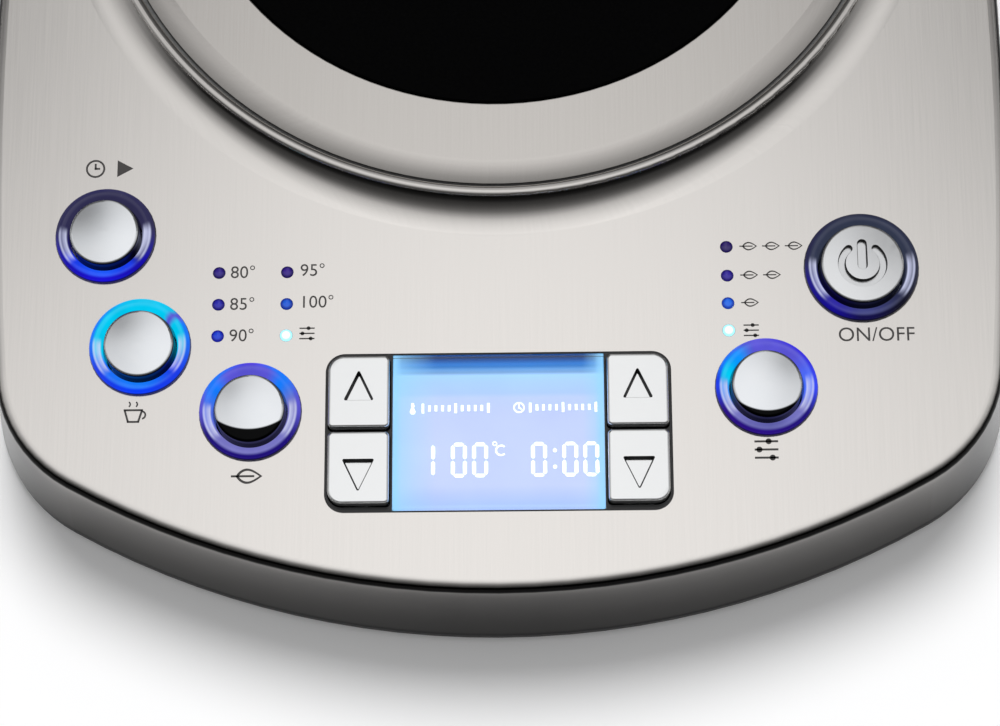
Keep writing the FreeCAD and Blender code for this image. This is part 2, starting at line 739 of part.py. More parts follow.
# ---- display panel ------------------------------------------------------------------------
def key_centre(name):
    side, row = KEYS[name]
    return side * KEY_X, PANEL_Y + row * (KEY_H + KEY_GAP) / 2


def key_block(name, grow, z0, z1):
    """Plan of one key: square inner corners, the outer corner rounded with the panel's."""
    x, y = key_centre(name)
    side, row = KEYS[name]
    solid = block(x, y, KEY_W + 2 * grow, KEY_H + 2 * grow, z0, z1)
    outer = []
    inner = []
    for edge in solid.Edges:
        low, high = edge.Vertexes[0], edge.Vertexes[1]
        if abs(low.Z - high.Z) < 0.01:
            continue
        if (low.X - x) * side > 0 and (low.Y - y) * row > 0:
            outer.append(edge)
        else:
            inner.append(edge)
    solid = solid.makeFillet(2.8 + grow, outer)
    rest = [e for e in solid.Edges if e.Length > (z1 - z0) - 0.01 and e.Length < (z1 - z0) + 0.01
            and abs(e.Vertexes[0].Z - e.Vertexes[-1].Z) > 0.01
            and not ((e.Vertexes[0].X - x) * side > 0 and (e.Vertexes[0].Y - y) * row > 0)]
    return solid.makeFillet(0.9, rest)


def panel_frame():
    """Black bezel and tray: a thin rim in the deck, a flange under it, wells for keys and glass."""
    rim = panel_hole(-0.08, UNDER_DECK - 4.0, DECK_Z - 0.1)
    flange = panel_hole(2.0, UNDER_DECK - 1.5, UNDER_DECK)
    tray = round_block(0, PANEL_Y, PANEL_W - 0.2, PANEL_H - 0.2, PANEL_CORNER, 17.6, UNDER_DECK)
    body = fuse([rim, flange, tray])
    cutters = [block(0, PANEL_Y, WINDOW_W + 0.1, PANEL_H - 0.7, 12, DECK_Z + 1)]
    for name in KEYS:
        x, y = key_centre(name)
        cutters.append(key_block(name, 0.2, 25.1, DECK_Z + 1))
        cutters.append(block(x, y + KEYS[name][1] * 0.3, KEY_W + 0.4, KEY_H + 0.9, 12, 25.1))
    body = body.cut(Part.makeCompound(cutters))
    feet = []
    for side in (-1, 1):
        for row in (-1, 1):
            feet.append(block(side * 32.7, PANEL_Y + row * 12.0, 1.6, 5.0, DISPLAY_BOARD_Z + PCB, 18.0))
    return fuse([body] + feet)


def key(name):
    """Glossy key: slightly crowned top, soft edges, a lip that stops it under the bezel."""
    x, y = key_centre(name)
    body = key_block(name, 0.0, 24.1, KEY_TOP)
    top = [e for e in body.Edges if all(abs(v.Z - KEY_TOP) < 0.01 for v in e.Vertexes)]
    body = body.makeFillet(0.5, top)
    body = body.cut(block(x, y, KEY_W - 2.4, KEY_H - 2.4, 23.0, KEY_TOP - 1.6))
    outer = y + KEYS[name][1] * KEY_H / 2
    lip = block(x, outer, 6.0, 1.0, 24.1, 25.06)
    stem = cyl(x, y, 2.0, DISPLAY_BOARD_Z + PCB + 3.6, KEY_TOP - 1.0)
    return fuse([body, lip, stem])


def key_dome(name):
    """Rubber dome on the display board: it returns the key and closes the contact under it."""
    x, y = key_centre(name)
    low = DISPLAY_BOARD_Z + PCB
    top = low + 3.55
    points = [
        (3.0, low),
        (4.4, low),
        (4.4, low + 0.7),
        (3.5, low + 0.7),
        (2.6, top),
        (0.0, top),
        (0.0, low + 1.6),
        (1.5, low + 1.6),
        (1.5, low + 2.4),
        (2.2, low + 2.4),
    ]
    return revolve(points, x, y)


def display_window():
    pane = block(0, PANEL_Y, WINDOW_W, PANEL_H - 0.8, 25.4, DECK_Z + 0.1)
    top = [e for e in pane.Edges if all(abs(v.Z - DECK_Z - 0.1) < 0.01 for v in e.Vertexes)]
    return pane.makeChamfer(0.2, top)


def display_glass():
    return block(0, PANEL_Y, WINDOW_W - 0.2, PANEL_H - 1.0, 23.4, 25.4)


def backlight():
    low = DISPLAY_BOARD_Z + PCB
    case = block(0, PANEL_Y, WINDOW_W - 0.4, PANEL_H - 1.2, low, 23.4)
    notch = block(0, PANEL_Y, WINDOW_W - 3.4, PANEL_H - 4.2, 22.8, 24.0)
    return case.cut(notch)


def display_board_holes():
    return [(side * 36.5, PANEL_Y + dy) for side in (-1, 1) for dy in (5.0, -11.0)]


def display_board():
    """Control board with the controller, the key contacts and the sockets for the flat cables."""
    board = round_block(0, PANEL_Y, 82, 30, 2.0, DISPLAY_BOARD_Z, DISPLAY_BOARD_Z + PCB)
    for x, y in display_board_holes():
        board = board.cut(cyl(x, y, 1.3, DISPLAY_BOARD_Z - 1, DISPLAY_BOARD_Z + PCB + 1))
    chip = block(8, PANEL_Y + 3, 12, 12, DISPLAY_BOARD_Z - 1.6, DISPLAY_BOARD_Z + 0.2)
    sockets = [block(x, PANEL_Y + 12, 10, 4, DISPLAY_BOARD_Z - 3.0, DISPLAY_BOARD_Z + 0.2) for x in (-26, 0, 26)]
    return fuse([board, chip] + sockets)


# ---- power electronics --------------------------------------------------------------------
def power_board_holes():
    return [(x, POWER_BOARD_Y + dy) for x in (-47.0, 47.0) for dy in (-17.0, 17.0)]


def power_board():
    board = round_block(0, POWER_BOARD_Y, 102, 42, 2.0, POWER_BOARD_Z, POWER_BOARD_Z + PCB)
    for x, y in power_board_holes():
        board = board.cut(cyl(x, y, 1.3, POWER_BOARD_Z - 1, POWER_BOARD_Z + PCB + 1))
    socket = block(0, POWER_BOARD_Y - 18, 12, 4, POWER_BOARD_Z + PCB - 0.2, POWER_BOARD_Z + PCB + 5)
    return fuse([board, socket])


def transformer():
    """Small mains transformer: laminated core round a wound bobbin."""
    low = POWER_BOARD_Z + PCB
    x = -18.0
    y = POWER_BOARD_Y + 2
    core = block(x, y, 27, 9, low + 1, low + 13.5)
    bobbin = round_block(x, y, 16, 22, 2.0, low, low + 12.5)
    return fuse([core, bobbin])


def relay():
    low = POWER_BOARD_Z + PCB
    case = round_block(12.0, POWER_BOARD_Y + 6, 19, 15.5, 0.8, low, low + 13.0)
    top = [e for e in case.Edges if all(abs(v.Z - low - 13.0) < 0.01 for v in e.Vertexes)]
    return case.makeChamfer(0.5, top)


def capacitors():
    low = POWER_BOARD_Z + PCB
    out = []
    for x, y in ((30.0, POWER_BOARD_Y - 12), (-38.0, POWER_BOARD_Y + 8)):
        can = revolve([(0, low), (4.6, low), (4.6, low + 1.4), (4.2, low + 1.8), (4.6, low + 2.2),
                       (4.6, low + 11.0), (4.2, low + 11.4), (0, low + 11.4)], x, y)
        out.append(can)
    out.append(round_block(34.0, POWER_BOARD_Y + 11, 8, 18, 1.0, low, low + 11.5))
    return out


def fuse_link():
    low = POWER_BOARD_Z + PCB
    y = POWER_BOARD_Y - 11
    glass = Part.makeCylinder(2.5, 20, Vector(2, y, low + 4.0), Vector(1, 0, 0))
    clips = [block(4.0, y, 3.0, 4.4, low, low + 4.0), block(20.0, y, 3.0, 4.4, low, low + 4.0)]
    return fuse([glass] + clips)


def terminal_block():
    """Three screw terminals for the mains lead."""
    low = POWER_BOARD_Z + PCB
    x = 40.0
    y = POWER_BOARD_Y - 9
    body = block(x, y, 8, 21, low, low + 9)
    for k in (-1, 0, 1):
        body = body.cut(cyl(x, y + 7 * k, 2.0, low + 4, low + 10))
        mouth = Part.makeCylinder(1.8, 5, Vector(x + 1, y + 7 * k, low + 3), Vector(1, 0, 0))
        body = body.cut(mouth)
    return body


def buzzer():
    low = POWER_BOARD_Z + PCB
    x = -40.0
    y = POWER_BOARD_Y - 10
    can = cyl(x, y, 6.0, low, low + 8.5)
    return can.cut(cyl(x, y, 1.2, low + 4, low + 9))


# ---- wires and cord gland -----------------------------------------------------------------
def wire(points, radius):
    """Round wire along straight runs, each corner an arc as large as its runs allow."""
    path = [Vector(*p) for p in points]
    edges = []
    here = path[0]
    for before, corner, after in zip(path, path[1:], path[2:]):
        into = before.sub(corner)
        out = after.sub(corner)
        turn = math.pi - into.getAngle(out)
        back = 0.45 * min(into.Length, out.Length)
        start = corner.add(Vector(into).normalize().multiply(back))
        end = corner.add(Vector(out).normalize().multiply(back))
        bisector = Vector(into).normalize().add(Vector(out).normalize()).normalize()
        arc_r = back / math.tan(turn / 2)
        depth = arc_r / math.cos(turn / 2) - arc_r
        middle = corner.add(bisector.multiply(depth))
        edges.append(Part.LineSegment(here, start).toShape())
        edges.append(Part.Arc(start, middle, end).toShape())
        here = end
    edges.append(Part.LineSegment(here, path[-1]).toShape())
    run = Part.Wire(edges)
    heading = path[1].sub(path[0])
    circle = Part.Wire(Part.Circle(path[0], heading, radius).toShape())
    return run.makePipeShell([circle], True, False)


def connector_wires():
    """Three insulated wires from the power board up to the connector's tabs."""
    board = POWER_BOARD_Z + PCB
    tabs = ((15.4, 0.0, 21.0), (-9.6, 0.0, -26.0), (0.0, -1.4, -6.0))
    wires = []
    for x, y, start in tabs:
        near = (x + start) / 2
        points = [(start, -35.0, board), (start, -35.0, 13.5), (start, -29.0, 15.5), (near, -21.0, 12.0),
                  (x, y - 10.0, 7.6), (x, y - 3.0, 6.6), (x, y, 7.6), (x, y, 11.0)]
        wires.append(wire(points, 0.9))
    return wires


def flat_cable(points, width, thick, across):
    """Flat cable: a thin band along straight runs with square folds."""
    parts = []
    for start, end in zip(points, points[1:]):
        a = Vector(*start)
        b = Vector(*end)
        low = Vector(min(a.x, b.x), min(a.y, b.y), min(a.z, b.z))
        size = Vector(abs(a.x - b.x), abs(a.y - b.y), abs(a.z - b.z))
        spread = Vector(width / 2 if across == "x" else thick / 2,
                        width / 2 if across == "y" else thick / 2, thick / 2)
        size = size.add(spread).add(spread)
        parts.append(Part.makeBox(size.x, size.y, size.z, low.sub(spread)))
    return fuse(parts)


def ribbon_cables():
    socket_y = PANEL_Y + 12
    drop = DISPLAY_BOARD_Z - 3.0
    main = flat_cable([(0, socket_y, drop - 0.3), (0, socket_y, 7.0), (0, POWER_BOARD_Y - 25, 7.0),
                       (0, POWER_BOARD_Y - 25, 16.0), (0, POWER_BOARD_Y - 18, 16.0),
                       (0, POWER_BOARD_Y - 18, POWER_BOARD_Z + PCB + 5.3)], 9.0, 0.6, "x")
    left = flat_cable([(-26, socket_y, drop - 0.3), (-26, socket_y, 10.2), (-43.5, socket_y, 10.2),
                       (-43.5, socket_y, SWITCH_BOARD_Z - 0.3)], 7.0, 0.6, "y")
    right = flat_cable([(26, socket_y, drop - 0.3), (26, socket_y, 10.2), (45.5, socket_y, 10.2),
                        (45.5, socket_y, SWITCH_BOARD_Z - 0.3)], 7.0, 0.6, "y")
    return [main, left, right]


def cord_gland():
    """Rubber bush in the rear of the skirt, with a flange behind the steel."""
    inner = outline_solid(lean(SKIRT_Z) - SHEET, SKIRT_Z, lean(UNDER_DECK) - SHEET, UNDER_DECK)
    flange = Part.makeCylinder(GLAND_R, 14, Vector(0, REAR_R - 3.0, INLET_Z), Vector(0, 1, 0)).common(inner)
    end = REAR_R + lean(INLET_Z) + 0.7
    neck = Part.makeCylinder(5.9, end - (REAR_R - 8.0), Vector(0, REAR_R - 8.0, INLET_Z), Vector(0, 1, 0))
    nozzle = Part.makeCylinder(7.0, 5.0, Vector(0, REAR_R - 8.0, INLET_Z), Vector(0, 1, 0))
    bore = Part.makeCylinder(INLET_BORE, 40, Vector(0, REAR_R - 20, INLET_Z), Vector(0, 1, 0))
    return fuse([flange, neck, nozzle]).cut(bore)


# ---- export -------------------------------------------------------------------------------
os.makedirs("parts", exist_ok=True)

save("top_cover", top_cover())
save("chassis", chassis())
save("base_pan", base_pan())
save("case_screws", *case_screws())
save("rubber_feet", *rubber_feet())
save("seat_plate", seat_plate())
save("seat_disc", seat_disc())
save("seat_gasket", seat_gasket())
save("connector_body", connector_body())
save("contact_rings", *contact_rings())
save("earth_pin", earth_pin())
save("connector_screws", *connector_screws())

for button in BUTTONS:
    save(button + "_light_ring", light_ring(button))
    save(button + "_button", button_cap(button))
    save(button + "_spring", return_spring(button))

save("left_button_guide", guide(LEFT_BUTTONS))
save("right_button_guide", guide(RIGHT_BUTTONS))
LEFT_BOARD = ((-92, -96), (-84, -84), (-38, -86), (-38, -116), (-44, -140), (-60, -140), (-84, -124))
RIGHT_BOARD = ((40, -86), (74, -86), (88, -100), (88, -114), (66, -138), (41, -140))
save("left_switch_board", switch_board(LEFT_BUTTONS, left_board_holes(), LEFT_BOARD))
save("right_switch_board", switch_board(RIGHT_BUTTONS, right_board_holes(), RIGHT_BOARD))
save("button_switches", *[push_switch(x, y) for x, y, ring_r, cap_r in BUTTONS.values()])
save("lamps", *lamps())

LEFT_WINDOWS, RIGHT_WINDOWS = window_places()
save("left_indicator_guide", light_guide(LEFT_WINDOWS))
save("right_indicator_guide", light_guide(RIGHT_WINDOWS))

save("panel_frame", panel_frame())
save("display_window", display_window())
save("display_glass", display_glass())
save("backlight", backlight())
save("display_board", display_board())
for name in KEYS:
    save(name + "_key", key(name))
    save(name + "_dome", key_dome(name))

save("power_board", power_board())
save("transformer", transformer())
save("relay", relay())
save("capacitors", *capacitors())
save("fuse", fuse_link())
save("terminal_block", terminal_block())
save("buzzer", buzzer())
save("connector_wires", *connector_wires())
save("ribbon_cables", *ribbon_cables())
save("cord_gland", cord_gland())
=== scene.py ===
import math
from functools import partial

import bmesh
import bpy
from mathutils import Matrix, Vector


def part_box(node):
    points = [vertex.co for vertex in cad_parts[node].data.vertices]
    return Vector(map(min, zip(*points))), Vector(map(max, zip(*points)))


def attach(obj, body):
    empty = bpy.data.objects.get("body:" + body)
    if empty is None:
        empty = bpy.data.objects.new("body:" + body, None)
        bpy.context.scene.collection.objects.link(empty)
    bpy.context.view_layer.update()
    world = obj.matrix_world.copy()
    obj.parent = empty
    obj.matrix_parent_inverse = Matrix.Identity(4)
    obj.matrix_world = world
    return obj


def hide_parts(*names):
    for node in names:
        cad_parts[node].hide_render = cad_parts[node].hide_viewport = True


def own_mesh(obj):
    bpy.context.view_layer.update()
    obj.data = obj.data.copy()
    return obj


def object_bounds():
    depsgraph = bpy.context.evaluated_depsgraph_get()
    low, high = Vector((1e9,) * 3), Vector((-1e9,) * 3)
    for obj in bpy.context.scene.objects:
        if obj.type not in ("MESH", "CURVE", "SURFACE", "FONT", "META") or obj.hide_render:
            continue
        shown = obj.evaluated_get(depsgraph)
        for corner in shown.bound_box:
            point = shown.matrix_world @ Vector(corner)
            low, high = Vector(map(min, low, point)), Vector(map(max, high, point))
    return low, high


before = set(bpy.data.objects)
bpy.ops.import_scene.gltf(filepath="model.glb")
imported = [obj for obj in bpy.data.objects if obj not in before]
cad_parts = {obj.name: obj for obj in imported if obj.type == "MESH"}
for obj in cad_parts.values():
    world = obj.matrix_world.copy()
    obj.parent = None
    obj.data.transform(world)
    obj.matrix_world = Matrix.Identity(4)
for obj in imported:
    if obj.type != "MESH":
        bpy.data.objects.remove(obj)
cad_low, cad_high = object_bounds()


# ---- camera ---------------------------------------------------------------------------------
# Long lens above the front edge, looking down on the deck. Places on the deck are given from the
# middle of the round seat.
def into_scene(name, data):
    """New object in the scene."""
    thing = bpy.data.objects.new(name, data)
    bpy.context.scene.collection.objects.link(thing)
    return thing


seat_low, seat_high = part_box("seat_disc")
seat_y = (seat_low.y + seat_high.y) / 2
camera = into_scene("camera", bpy.data.cameras.new("camera"))
camera.data.lens = 113.88
camera.data.sensor_width = 36.0
camera.location = (0.00983, seat_y - 0.322793, 0.61298)
camera.rotation_euler = (math.radians(19.202), math.radians(1.0211), math.radians(-0.2647))
bpy.context.scene.camera = camera


# ---- studio ---------------------------------------------------------------------------------
# White table under one broad soft box that reaches over the object from behind, in a room that
# darkens towards the front and the sides. The key lamp stands behind, so its shadow falls forward.
bpy.context.scene.view_settings.view_transform = "Standard"


def fill(node, inputs):
    """Sets inputs of a shader node: each value is a number, a colour or the output that feeds it."""
    for socket, value in inputs.items():
        if isinstance(value, bpy.types.NodeSocket):
            node.id_data.links.new(value, node.inputs[socket])
        else:
            node.inputs[socket].default_value = value


def put(tree, kind, inputs, output=0, **settings):
    """Adds a shader node with these settings and inputs, and gives one of its outputs."""
    node = tree.nodes.new("ShaderNode" + kind)
    for setting, value in settings.items():
        setattr(node, setting, value)
    fill(node, inputs)
    return node.outputs[output]


def maths(tree, operation, *values):
    """Result of a sum of numbers and outputs."""
    return put(tree, "Math", dict(enumerate(values)), operation=operation)


def xyz(tree, vector):
    """The three parts of a vector, by their letters."""
    return put(tree, "SeparateXYZ", {0: vector}).node.outputs


def span(tree, value, low, high, to_low=0.0, to_high=1.0, **settings):
    """Where a value lies between low and high, on a scale from to_low to to_high."""
    return put(tree, "MapRange", {"Value": value, "From Min": low, "From Max": high, "To Min": to_low,
                                  "To Max": to_high}, **settings)


def ramp(tree, value, stops, smooth=True):
    """Colour read off between stops (position, colour); a colour may be a grey level."""
    colour = put(tree, "ValToRGB", {"Fac": value})
    scale = colour.node.color_ramp
    scale.interpolation = "EASE" if smooth else "LINEAR"
    while len(scale.elements) < len(stops):
        scale.elements.new(0.5)
    for stop, (position, shade) in zip(scale.elements, stops):
        stop.position = position
        stop.color = shade if isinstance(shade, tuple) else (shade, shade, shade, 1.0)
    return colour


studio = bpy.data.worlds.new("studio")
bpy.context.scene.world = studio
studio.use_nodes = True
room = studio.node_tree
heading = xyz(room, put(room, "TexCoord", {}, "Generated"))


def room_curve(value, low, high, stops):
    """Brightness read off a curve between two values."""
    return ramp(room, span(room, value, low, high), [((at - low) / (high - low), level) for at, level in stops],
                smooth=False)


sideways = maths(room, "ABSOLUTE", maths(room, "ADD", heading["X"], 0.016))
front_edge = room_curve(
    maths(room, "MULTIPLY_ADD", heading["Z"], 1.63, heading["Y"]), -2.0, 2.0,
    [(-2.0, 0.09), (0.20, 0.09), (0.35, 0.10), (0.52, 0.12), (0.72, 0.19), (0.90, 0.30), (1.05, 0.41), (1.15, 0.50),
     (1.41, 0.73), (1.63, 0.90), (1.80, 1.0), (2.0, 1.0)])
rear_edge = room_curve(
    heading["Y"], -1.0, 1.0,
    [(0.30, 1.0), (0.35, 1.0), (0.38, 0.965), (0.40, 0.93), (0.42, 0.895), (0.45, 0.84), (0.50, 0.74), (0.60, 0.64),
     (0.80, 0.55)])
rear_corners = room_curve(
    sideways, 0.0, 1.0,
    [(0.0, 0.0), (0.04, 0.015), (0.075, 0.07), (0.10, 0.15), (0.12, 0.235), (0.14, 0.35), (0.165, 0.46), (0.19, 0.52),
     (0.23, 0.55)])
to_rear = room_curve(
    heading["Y"], -1.0, 1.0,
    [(-0.20, 0.0), (0.22, 0.40), (0.30, 0.50), (0.33, 0.56), (0.35, 0.75), (0.37, 1.0), (0.39, 1.12), (0.42, 1.42)])
kept = maths(room, "SUBTRACT", 1.0, maths(room, "MULTIPLY", rear_corners, to_rear))
soft_box = maths(room, "MULTIPLY", maths(room, "MULTIPLY", front_edge, rear_edge), kept)
side_wall = room_curve(sideways, 0.0, 1.0, [(0.70, 0.0), (0.88, 0.16)])
past_front = room_curve(heading["Y"], -1.0, 1.0, [(-0.35, 0.0), (-0.12, 1.0)])
side_light = maths(room, "MULTIPLY", side_wall, past_front)
fill(room.nodes["Background"], {"Color": (1.0, 1.0, 1.0, 1.0),
                                "Strength": maths(room, "MULTIPLY_ADD", soft_box, 0.965, side_light)})


def blank(name):
    """New material, with its node tree and its shader."""
    material = bpy.data.materials.new(name)
    material.use_nodes = True
    return material, material.node_tree, material.node_tree.nodes["Principled BSDF"]


floor_mesh = bpy.data.meshes.new("floor")
floor_mesh.from_pydata([(-8, -8, 0), (8, -8, 0), (8, 8, 0), (-8, 8, 0)], [], [(0, 1, 2, 3)])
floor = into_scene("floor", floor_mesh)
table_top, top, shader = blank("table_top")
rays = put(top, "LightPath", {}).node.outputs
seen = maths(top, "MAXIMUM", maths(top, "MAXIMUM", rays["Is Camera Ray"], rays["Is Glossy Ray"]),
             rays["Is Transmission Ray"])
fill(shader, {"Base Color": (0.88, 0.88, 0.885, 1.0), "Roughness": 0.9, "Specular IOR Level": 0.0,
              "Emission Color": (1.0, 1.0, 1.0, 1.0), "Emission Strength": maths(top, "MULTIPLY", seen, 0.12)})
floor_mesh.materials.append(table_top)

key_lamp = into_scene("key_lamp", bpy.data.lights.new("key_lamp", "SUN"))
key_lamp.data.energy = 2.45
key_lamp.data.angle = math.radians(30)
key_lamp.rotation_euler = (math.radians(-32), 0.0, 0.0)
key_lamp.visible_glossy = False


# ---- base pan -------------------------------------------------------------------------------
# Black moulded underside with ribs, vents and screw wells; from the side its rim shows as a thin
# dark line under the steel. Matt ABS with a fine spark-eroded texture.
def finish(name, dark, light, gloss, grain, depth, metal=0.0, along=(1, 1, 1), more=None):
    """Material of a moulded, plated or cast piece: mottled colour, uneven gloss, a fine surface grain."""
    material, tree, shader = blank(name)
    place = put(tree, "Mapping", {"Vector": put(tree, "TexCoord", {}, "Object"), "Scale": along})
    mottle = put(tree, "TexNoise", {"Vector": place, "Scale": grain, "Detail": 3.0})
    fill(shader, {
        "Metallic": metal,
        "Base Color": ramp(tree, mottle, [(0.3, (*dark, 1.0)), (0.7, (*light, 1.0))], smooth=False),
        "Roughness": span(tree, mottle, 0.0, 1.0, *gloss),
        "Normal": put(tree, "Bump", {"Strength": 0.4, "Distance": depth, "Height": mottle}),
        **(more or {})})
    return material


def dress(material, *names):
    """Gives a finish to pieces that keep their own shape."""
    for name in names:
        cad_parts[name].material_slots[0].material = material


dress(finish("black_abs", (0.010, 0.010, 0.011), (0.016, 0.016, 0.017), (0.45, 0.62), 2600, 0.00003), "base_pan")


# ---- feet, gland and case screws ------------------------------------------------------------
# Five rubber feet pressed into the pan, a rubber bush for the cord in the rear of the skirt,
# and six zinc-plated cross-head screws from below.
dress(finish("soft_rubber", (0.012, 0.012, 0.012), (0.022, 0.021, 0.020), (0.7, 0.9), 1500, 0.00004),
      "rubber_feet", "cord_gland")
dress(finish("zinc_plate", (0.42, 0.42, 0.43), (0.60, 0.60, 0.61), (0.28, 0.42), 900, 0.00001, metal=1.0),
      "case_screws", "connector_screws")


# ---- power electronics ----------------------------------------------------------------------
# Board with a mains transformer, relay, capacitors, fuse, terminals and buzzer, over the vents.
dress(finish("board_green", (0.004, 0.045, 0.018), (0.008, 0.085, 0.035), (0.25, 0.45), 420, 0.00002),
      "power_board", "display_board", "left_switch_board", "right_switch_board")
dress(finish("core_steel", (0.16, 0.15, 0.15), (0.30, 0.29, 0.28), (0.45, 0.65), 1400, 0.00005, 0.8, (1, 0.05, 1)),
      "transformer")
dress(finish("switch_black", (0.012, 0.012, 0.013), (0.022, 0.022, 0.023), (0.35, 0.5), 1800, 0.00002),
      "button_switches", "buzzer", "relay")
dress(finish("sleeve_film", (0.010, 0.014, 0.050), (0.018, 0.024, 0.080), (0.2, 0.35), 300, 0.00002), "capacitors")
dress(finish("fuse_glass", (0.55, 0.56, 0.55), (0.68, 0.69, 0.68), (0.08, 0.2), 500, 0.00001), "fuse")
dress(finish("terminal_nylon", (0.62, 0.62, 0.58), (0.72, 0.72, 0.68), (0.4, 0.55), 1600, 0.00002), "terminal_block")


# ---- lamps, light guides and wiring ---------------------------------------------------------
# White surface-mounted lamps, two clear mouldings that lead their light to the windows, flat
# cables between the boards and three insulated wires up to the connector.
dress(finish("lamp_body", (0.74, 0.74, 0.70), (0.86, 0.86, 0.82), (0.3, 0.45), 2500, 0.00001), "lamps")
dress(finish("clear_acrylic", (0.80, 0.86, 0.95), (0.92, 0.95, 1.0), (0.04, 0.10), 300, 0.000005,
             more={"Transmission Weight": 0.9, "IOR": 1.49}), "left_indicator_guide", "right_indicator_guide")
dress(finish("wire_jacket", (0.20, 0.02, 0.02), (0.28, 0.04, 0.03), (0.35, 0.5), 700, 0.00002), "connector_wires")
dress(finish("cable_pvc", (0.34, 0.35, 0.36), (0.46, 0.47, 0.48), (0.4, 0.55), 1500, 0.00003, 0.0, (1, 0.04, 0.04)),
      "ribbon_cables")


# ---- chassis and button guides --------------------------------------------------------------
# Grey moulded carrier under the steel, and the two arms whose bushes guide the button stems.
dress(finish("grey_abs", (0.24, 0.24, 0.25), (0.30, 0.30, 0.31), (0.45, 0.6), 2200, 0.00003),
      "chassis", "left_button_guide", "right_button_guide")


# ---- return springs -------------------------------------------------------------------------
# Five coils of plated spring wire between the guide bushes and the undersides of the caps.
def fitted(name, mesh, material, body):
    """New piece of this mesh and material, fixed to a body."""
    mesh.materials.append(material)
    piece = into_scene(name, mesh)
    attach(piece, body)
    return piece


def middle_of(node):
    """Where the upright axis of a round node stands, and how high it starts and ends."""
    low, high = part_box(node)
    return (low.x + high.x) / 2, (low.y + high.y) / 2, low.z, high.z


spring_wire = finish("spring_wire", (0.45, 0.44, 0.42), (0.62, 0.61, 0.59), (0.2, 0.32), 1200, 0.00001, metal=1.0)
wire_r = 0.00022
coil_r = 0.0034
turns, steps, sides = 5, 40, 8
for button in ("auto_start", "keep_warm", "tea", "custom", "power"):
    axis_x, axis_y, foot, top_z = middle_of(button + "_spring")
    points, faces = [], []
    for k in range(turns * steps + 1):
        turn = 2 * math.pi * k / steps
        rise = foot + wire_r + (top_z - foot - 2 * wire_r) * k / (turns * steps)
        for s in range(sides):
            lean = 2 * math.pi * s / sides
            reach = coil_r + wire_r * math.cos(lean)
            points.append((axis_x + reach * math.cos(turn), axis_y + reach * math.sin(turn),
                           rise + wire_r * math.sin(lean)))
    for k in range(turns * steps):
        for s in range(sides):
            a, b = k * sides + s, k * sides + (s + 1) % sides
            faces.append((a, a + sides, b + sides, b))
    faces.append(tuple(range(sides)))
    faces.append(tuple(reversed(range(turns * steps * sides, (turns * steps + 1) * sides))))
    coil_mesh = bpy.data.meshes.new(button + "_coil")
    coil_mesh.from_pydata(points, [], faces)
    coil_mesh.shade_smooth()
    coil = fitted(button + "_coil", coil_mesh, spring_wire, "base")
    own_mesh(coil)
    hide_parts(button + "_spring")


# ---- cordless connector ---------------------------------------------------------------------
# Round glass-filled nylon boss through the middle of the seat, with two sprung brass rings at
# the bottom of its grooves and an earth pin in its centre.
dress(finish("nylon_black", (0.014, 0.014, 0.015), (0.024, 0.024, 0.025), (0.42, 0.58), 2400, 0.00003),
      "connector_body")
dress(finish("brass", (0.62, 0.42, 0.15), (0.80, 0.58, 0.24), (0.18, 0.34), 900, 0.00001, metal=1.0), "contact_rings")
dress(finish("earth_nickel", (0.60, 0.58, 0.55), (0.72, 0.70, 0.67), (0.15, 0.3), 1100, 0.00001, metal=1.0),
      "earth_pin")


# ---- display --------------------------------------------------------------------------------
# Backlit liquid crystal glass under a clear acrylic window. The blue-white light is brightest in the middle; along the
# top a deep-blue band is painted into the light as an image of the window's rear wall seen through it.
def tint(red, green, blue):
    """Linear colour of a painted or lit shade given on the usual 0 to 255 scale."""
    return tuple((part / 255 / 12.92) if part < 10 else ((part / 255 + 0.055) / 1.055) ** 2.4
                 for part in (red, green, blue)) + (1.0,)


def blend(tree, share, one, other):
    """Colour between two others."""
    return put(tree, "Mix", {"Factor": share, 6: one, 7: other}, 2, data_type="RGBA")


panel_low, panel_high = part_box("display_window")
lit_glass, tree, shader = blank("lit_glass")
place = put(tree, "TexCoord", {}, "Object")
axes = xyz(tree, place)
# The first stops are the painted image of the window's rear wall along the top.
bands = ramp(tree, span(tree, axes["Y"], panel_high.y, panel_low.y), [
    (0.0, tint(20, 52, 98)), (0.02, tint(14, 78, 150)), (0.045, tint(32, 120, 200)), (0.062, tint(38, 118, 190)),
    (0.08, tint(100, 162, 218)), (0.10, tint(118, 162, 206)), (0.118, tint(168, 214, 250)),
    (0.16, tint(172, 208, 250)), (0.235, tint(175, 204, 250)), (0.265, tint(192, 209, 252)),
    (0.36, tint(195, 207, 248)), (0.6, tint(199, 210, 248)), (0.83, tint(199, 210, 247)),
    (0.885, tint(187, 203, 250)), (0.95, tint(174, 198, 248)), (0.962, tint(181, 206, 248)),
    (0.985, tint(165, 192, 226)), (1.0, tint(70, 95, 122))], smooth=False)
edges = ramp(tree, span(tree, axes["X"], panel_low.x, panel_high.x), [
    (0.0, 1.0), (0.012, 0.9), (0.028, 0.72), (0.04, 0.55), (0.10, 0.30), (0.2, 0.0), (0.9, 0.0), (0.955, 0.35),
    (0.975, 0.72), (0.99, 0.85), (1.0, 1.0)], smooth=False)
cells = put(tree, "TexNoise", {"Vector": place, "Scale": 110.0})
fill(shader, {"Base Color": tint(40, 60, 110), "Roughness": 0.2,
              "Emission Color": blend(tree, edges, bands, tint(150, 214, 246)),
              "Emission Strength": span(tree, cells, 0.0, 1.0, 0.93, 1.05)})
dress(lit_glass, "display_glass")
dress(finish("diffuser", (0.80, 0.82, 0.84), (0.88, 0.90, 0.92), (0.4, 0.6), 1500, 0.00002), "backlight")
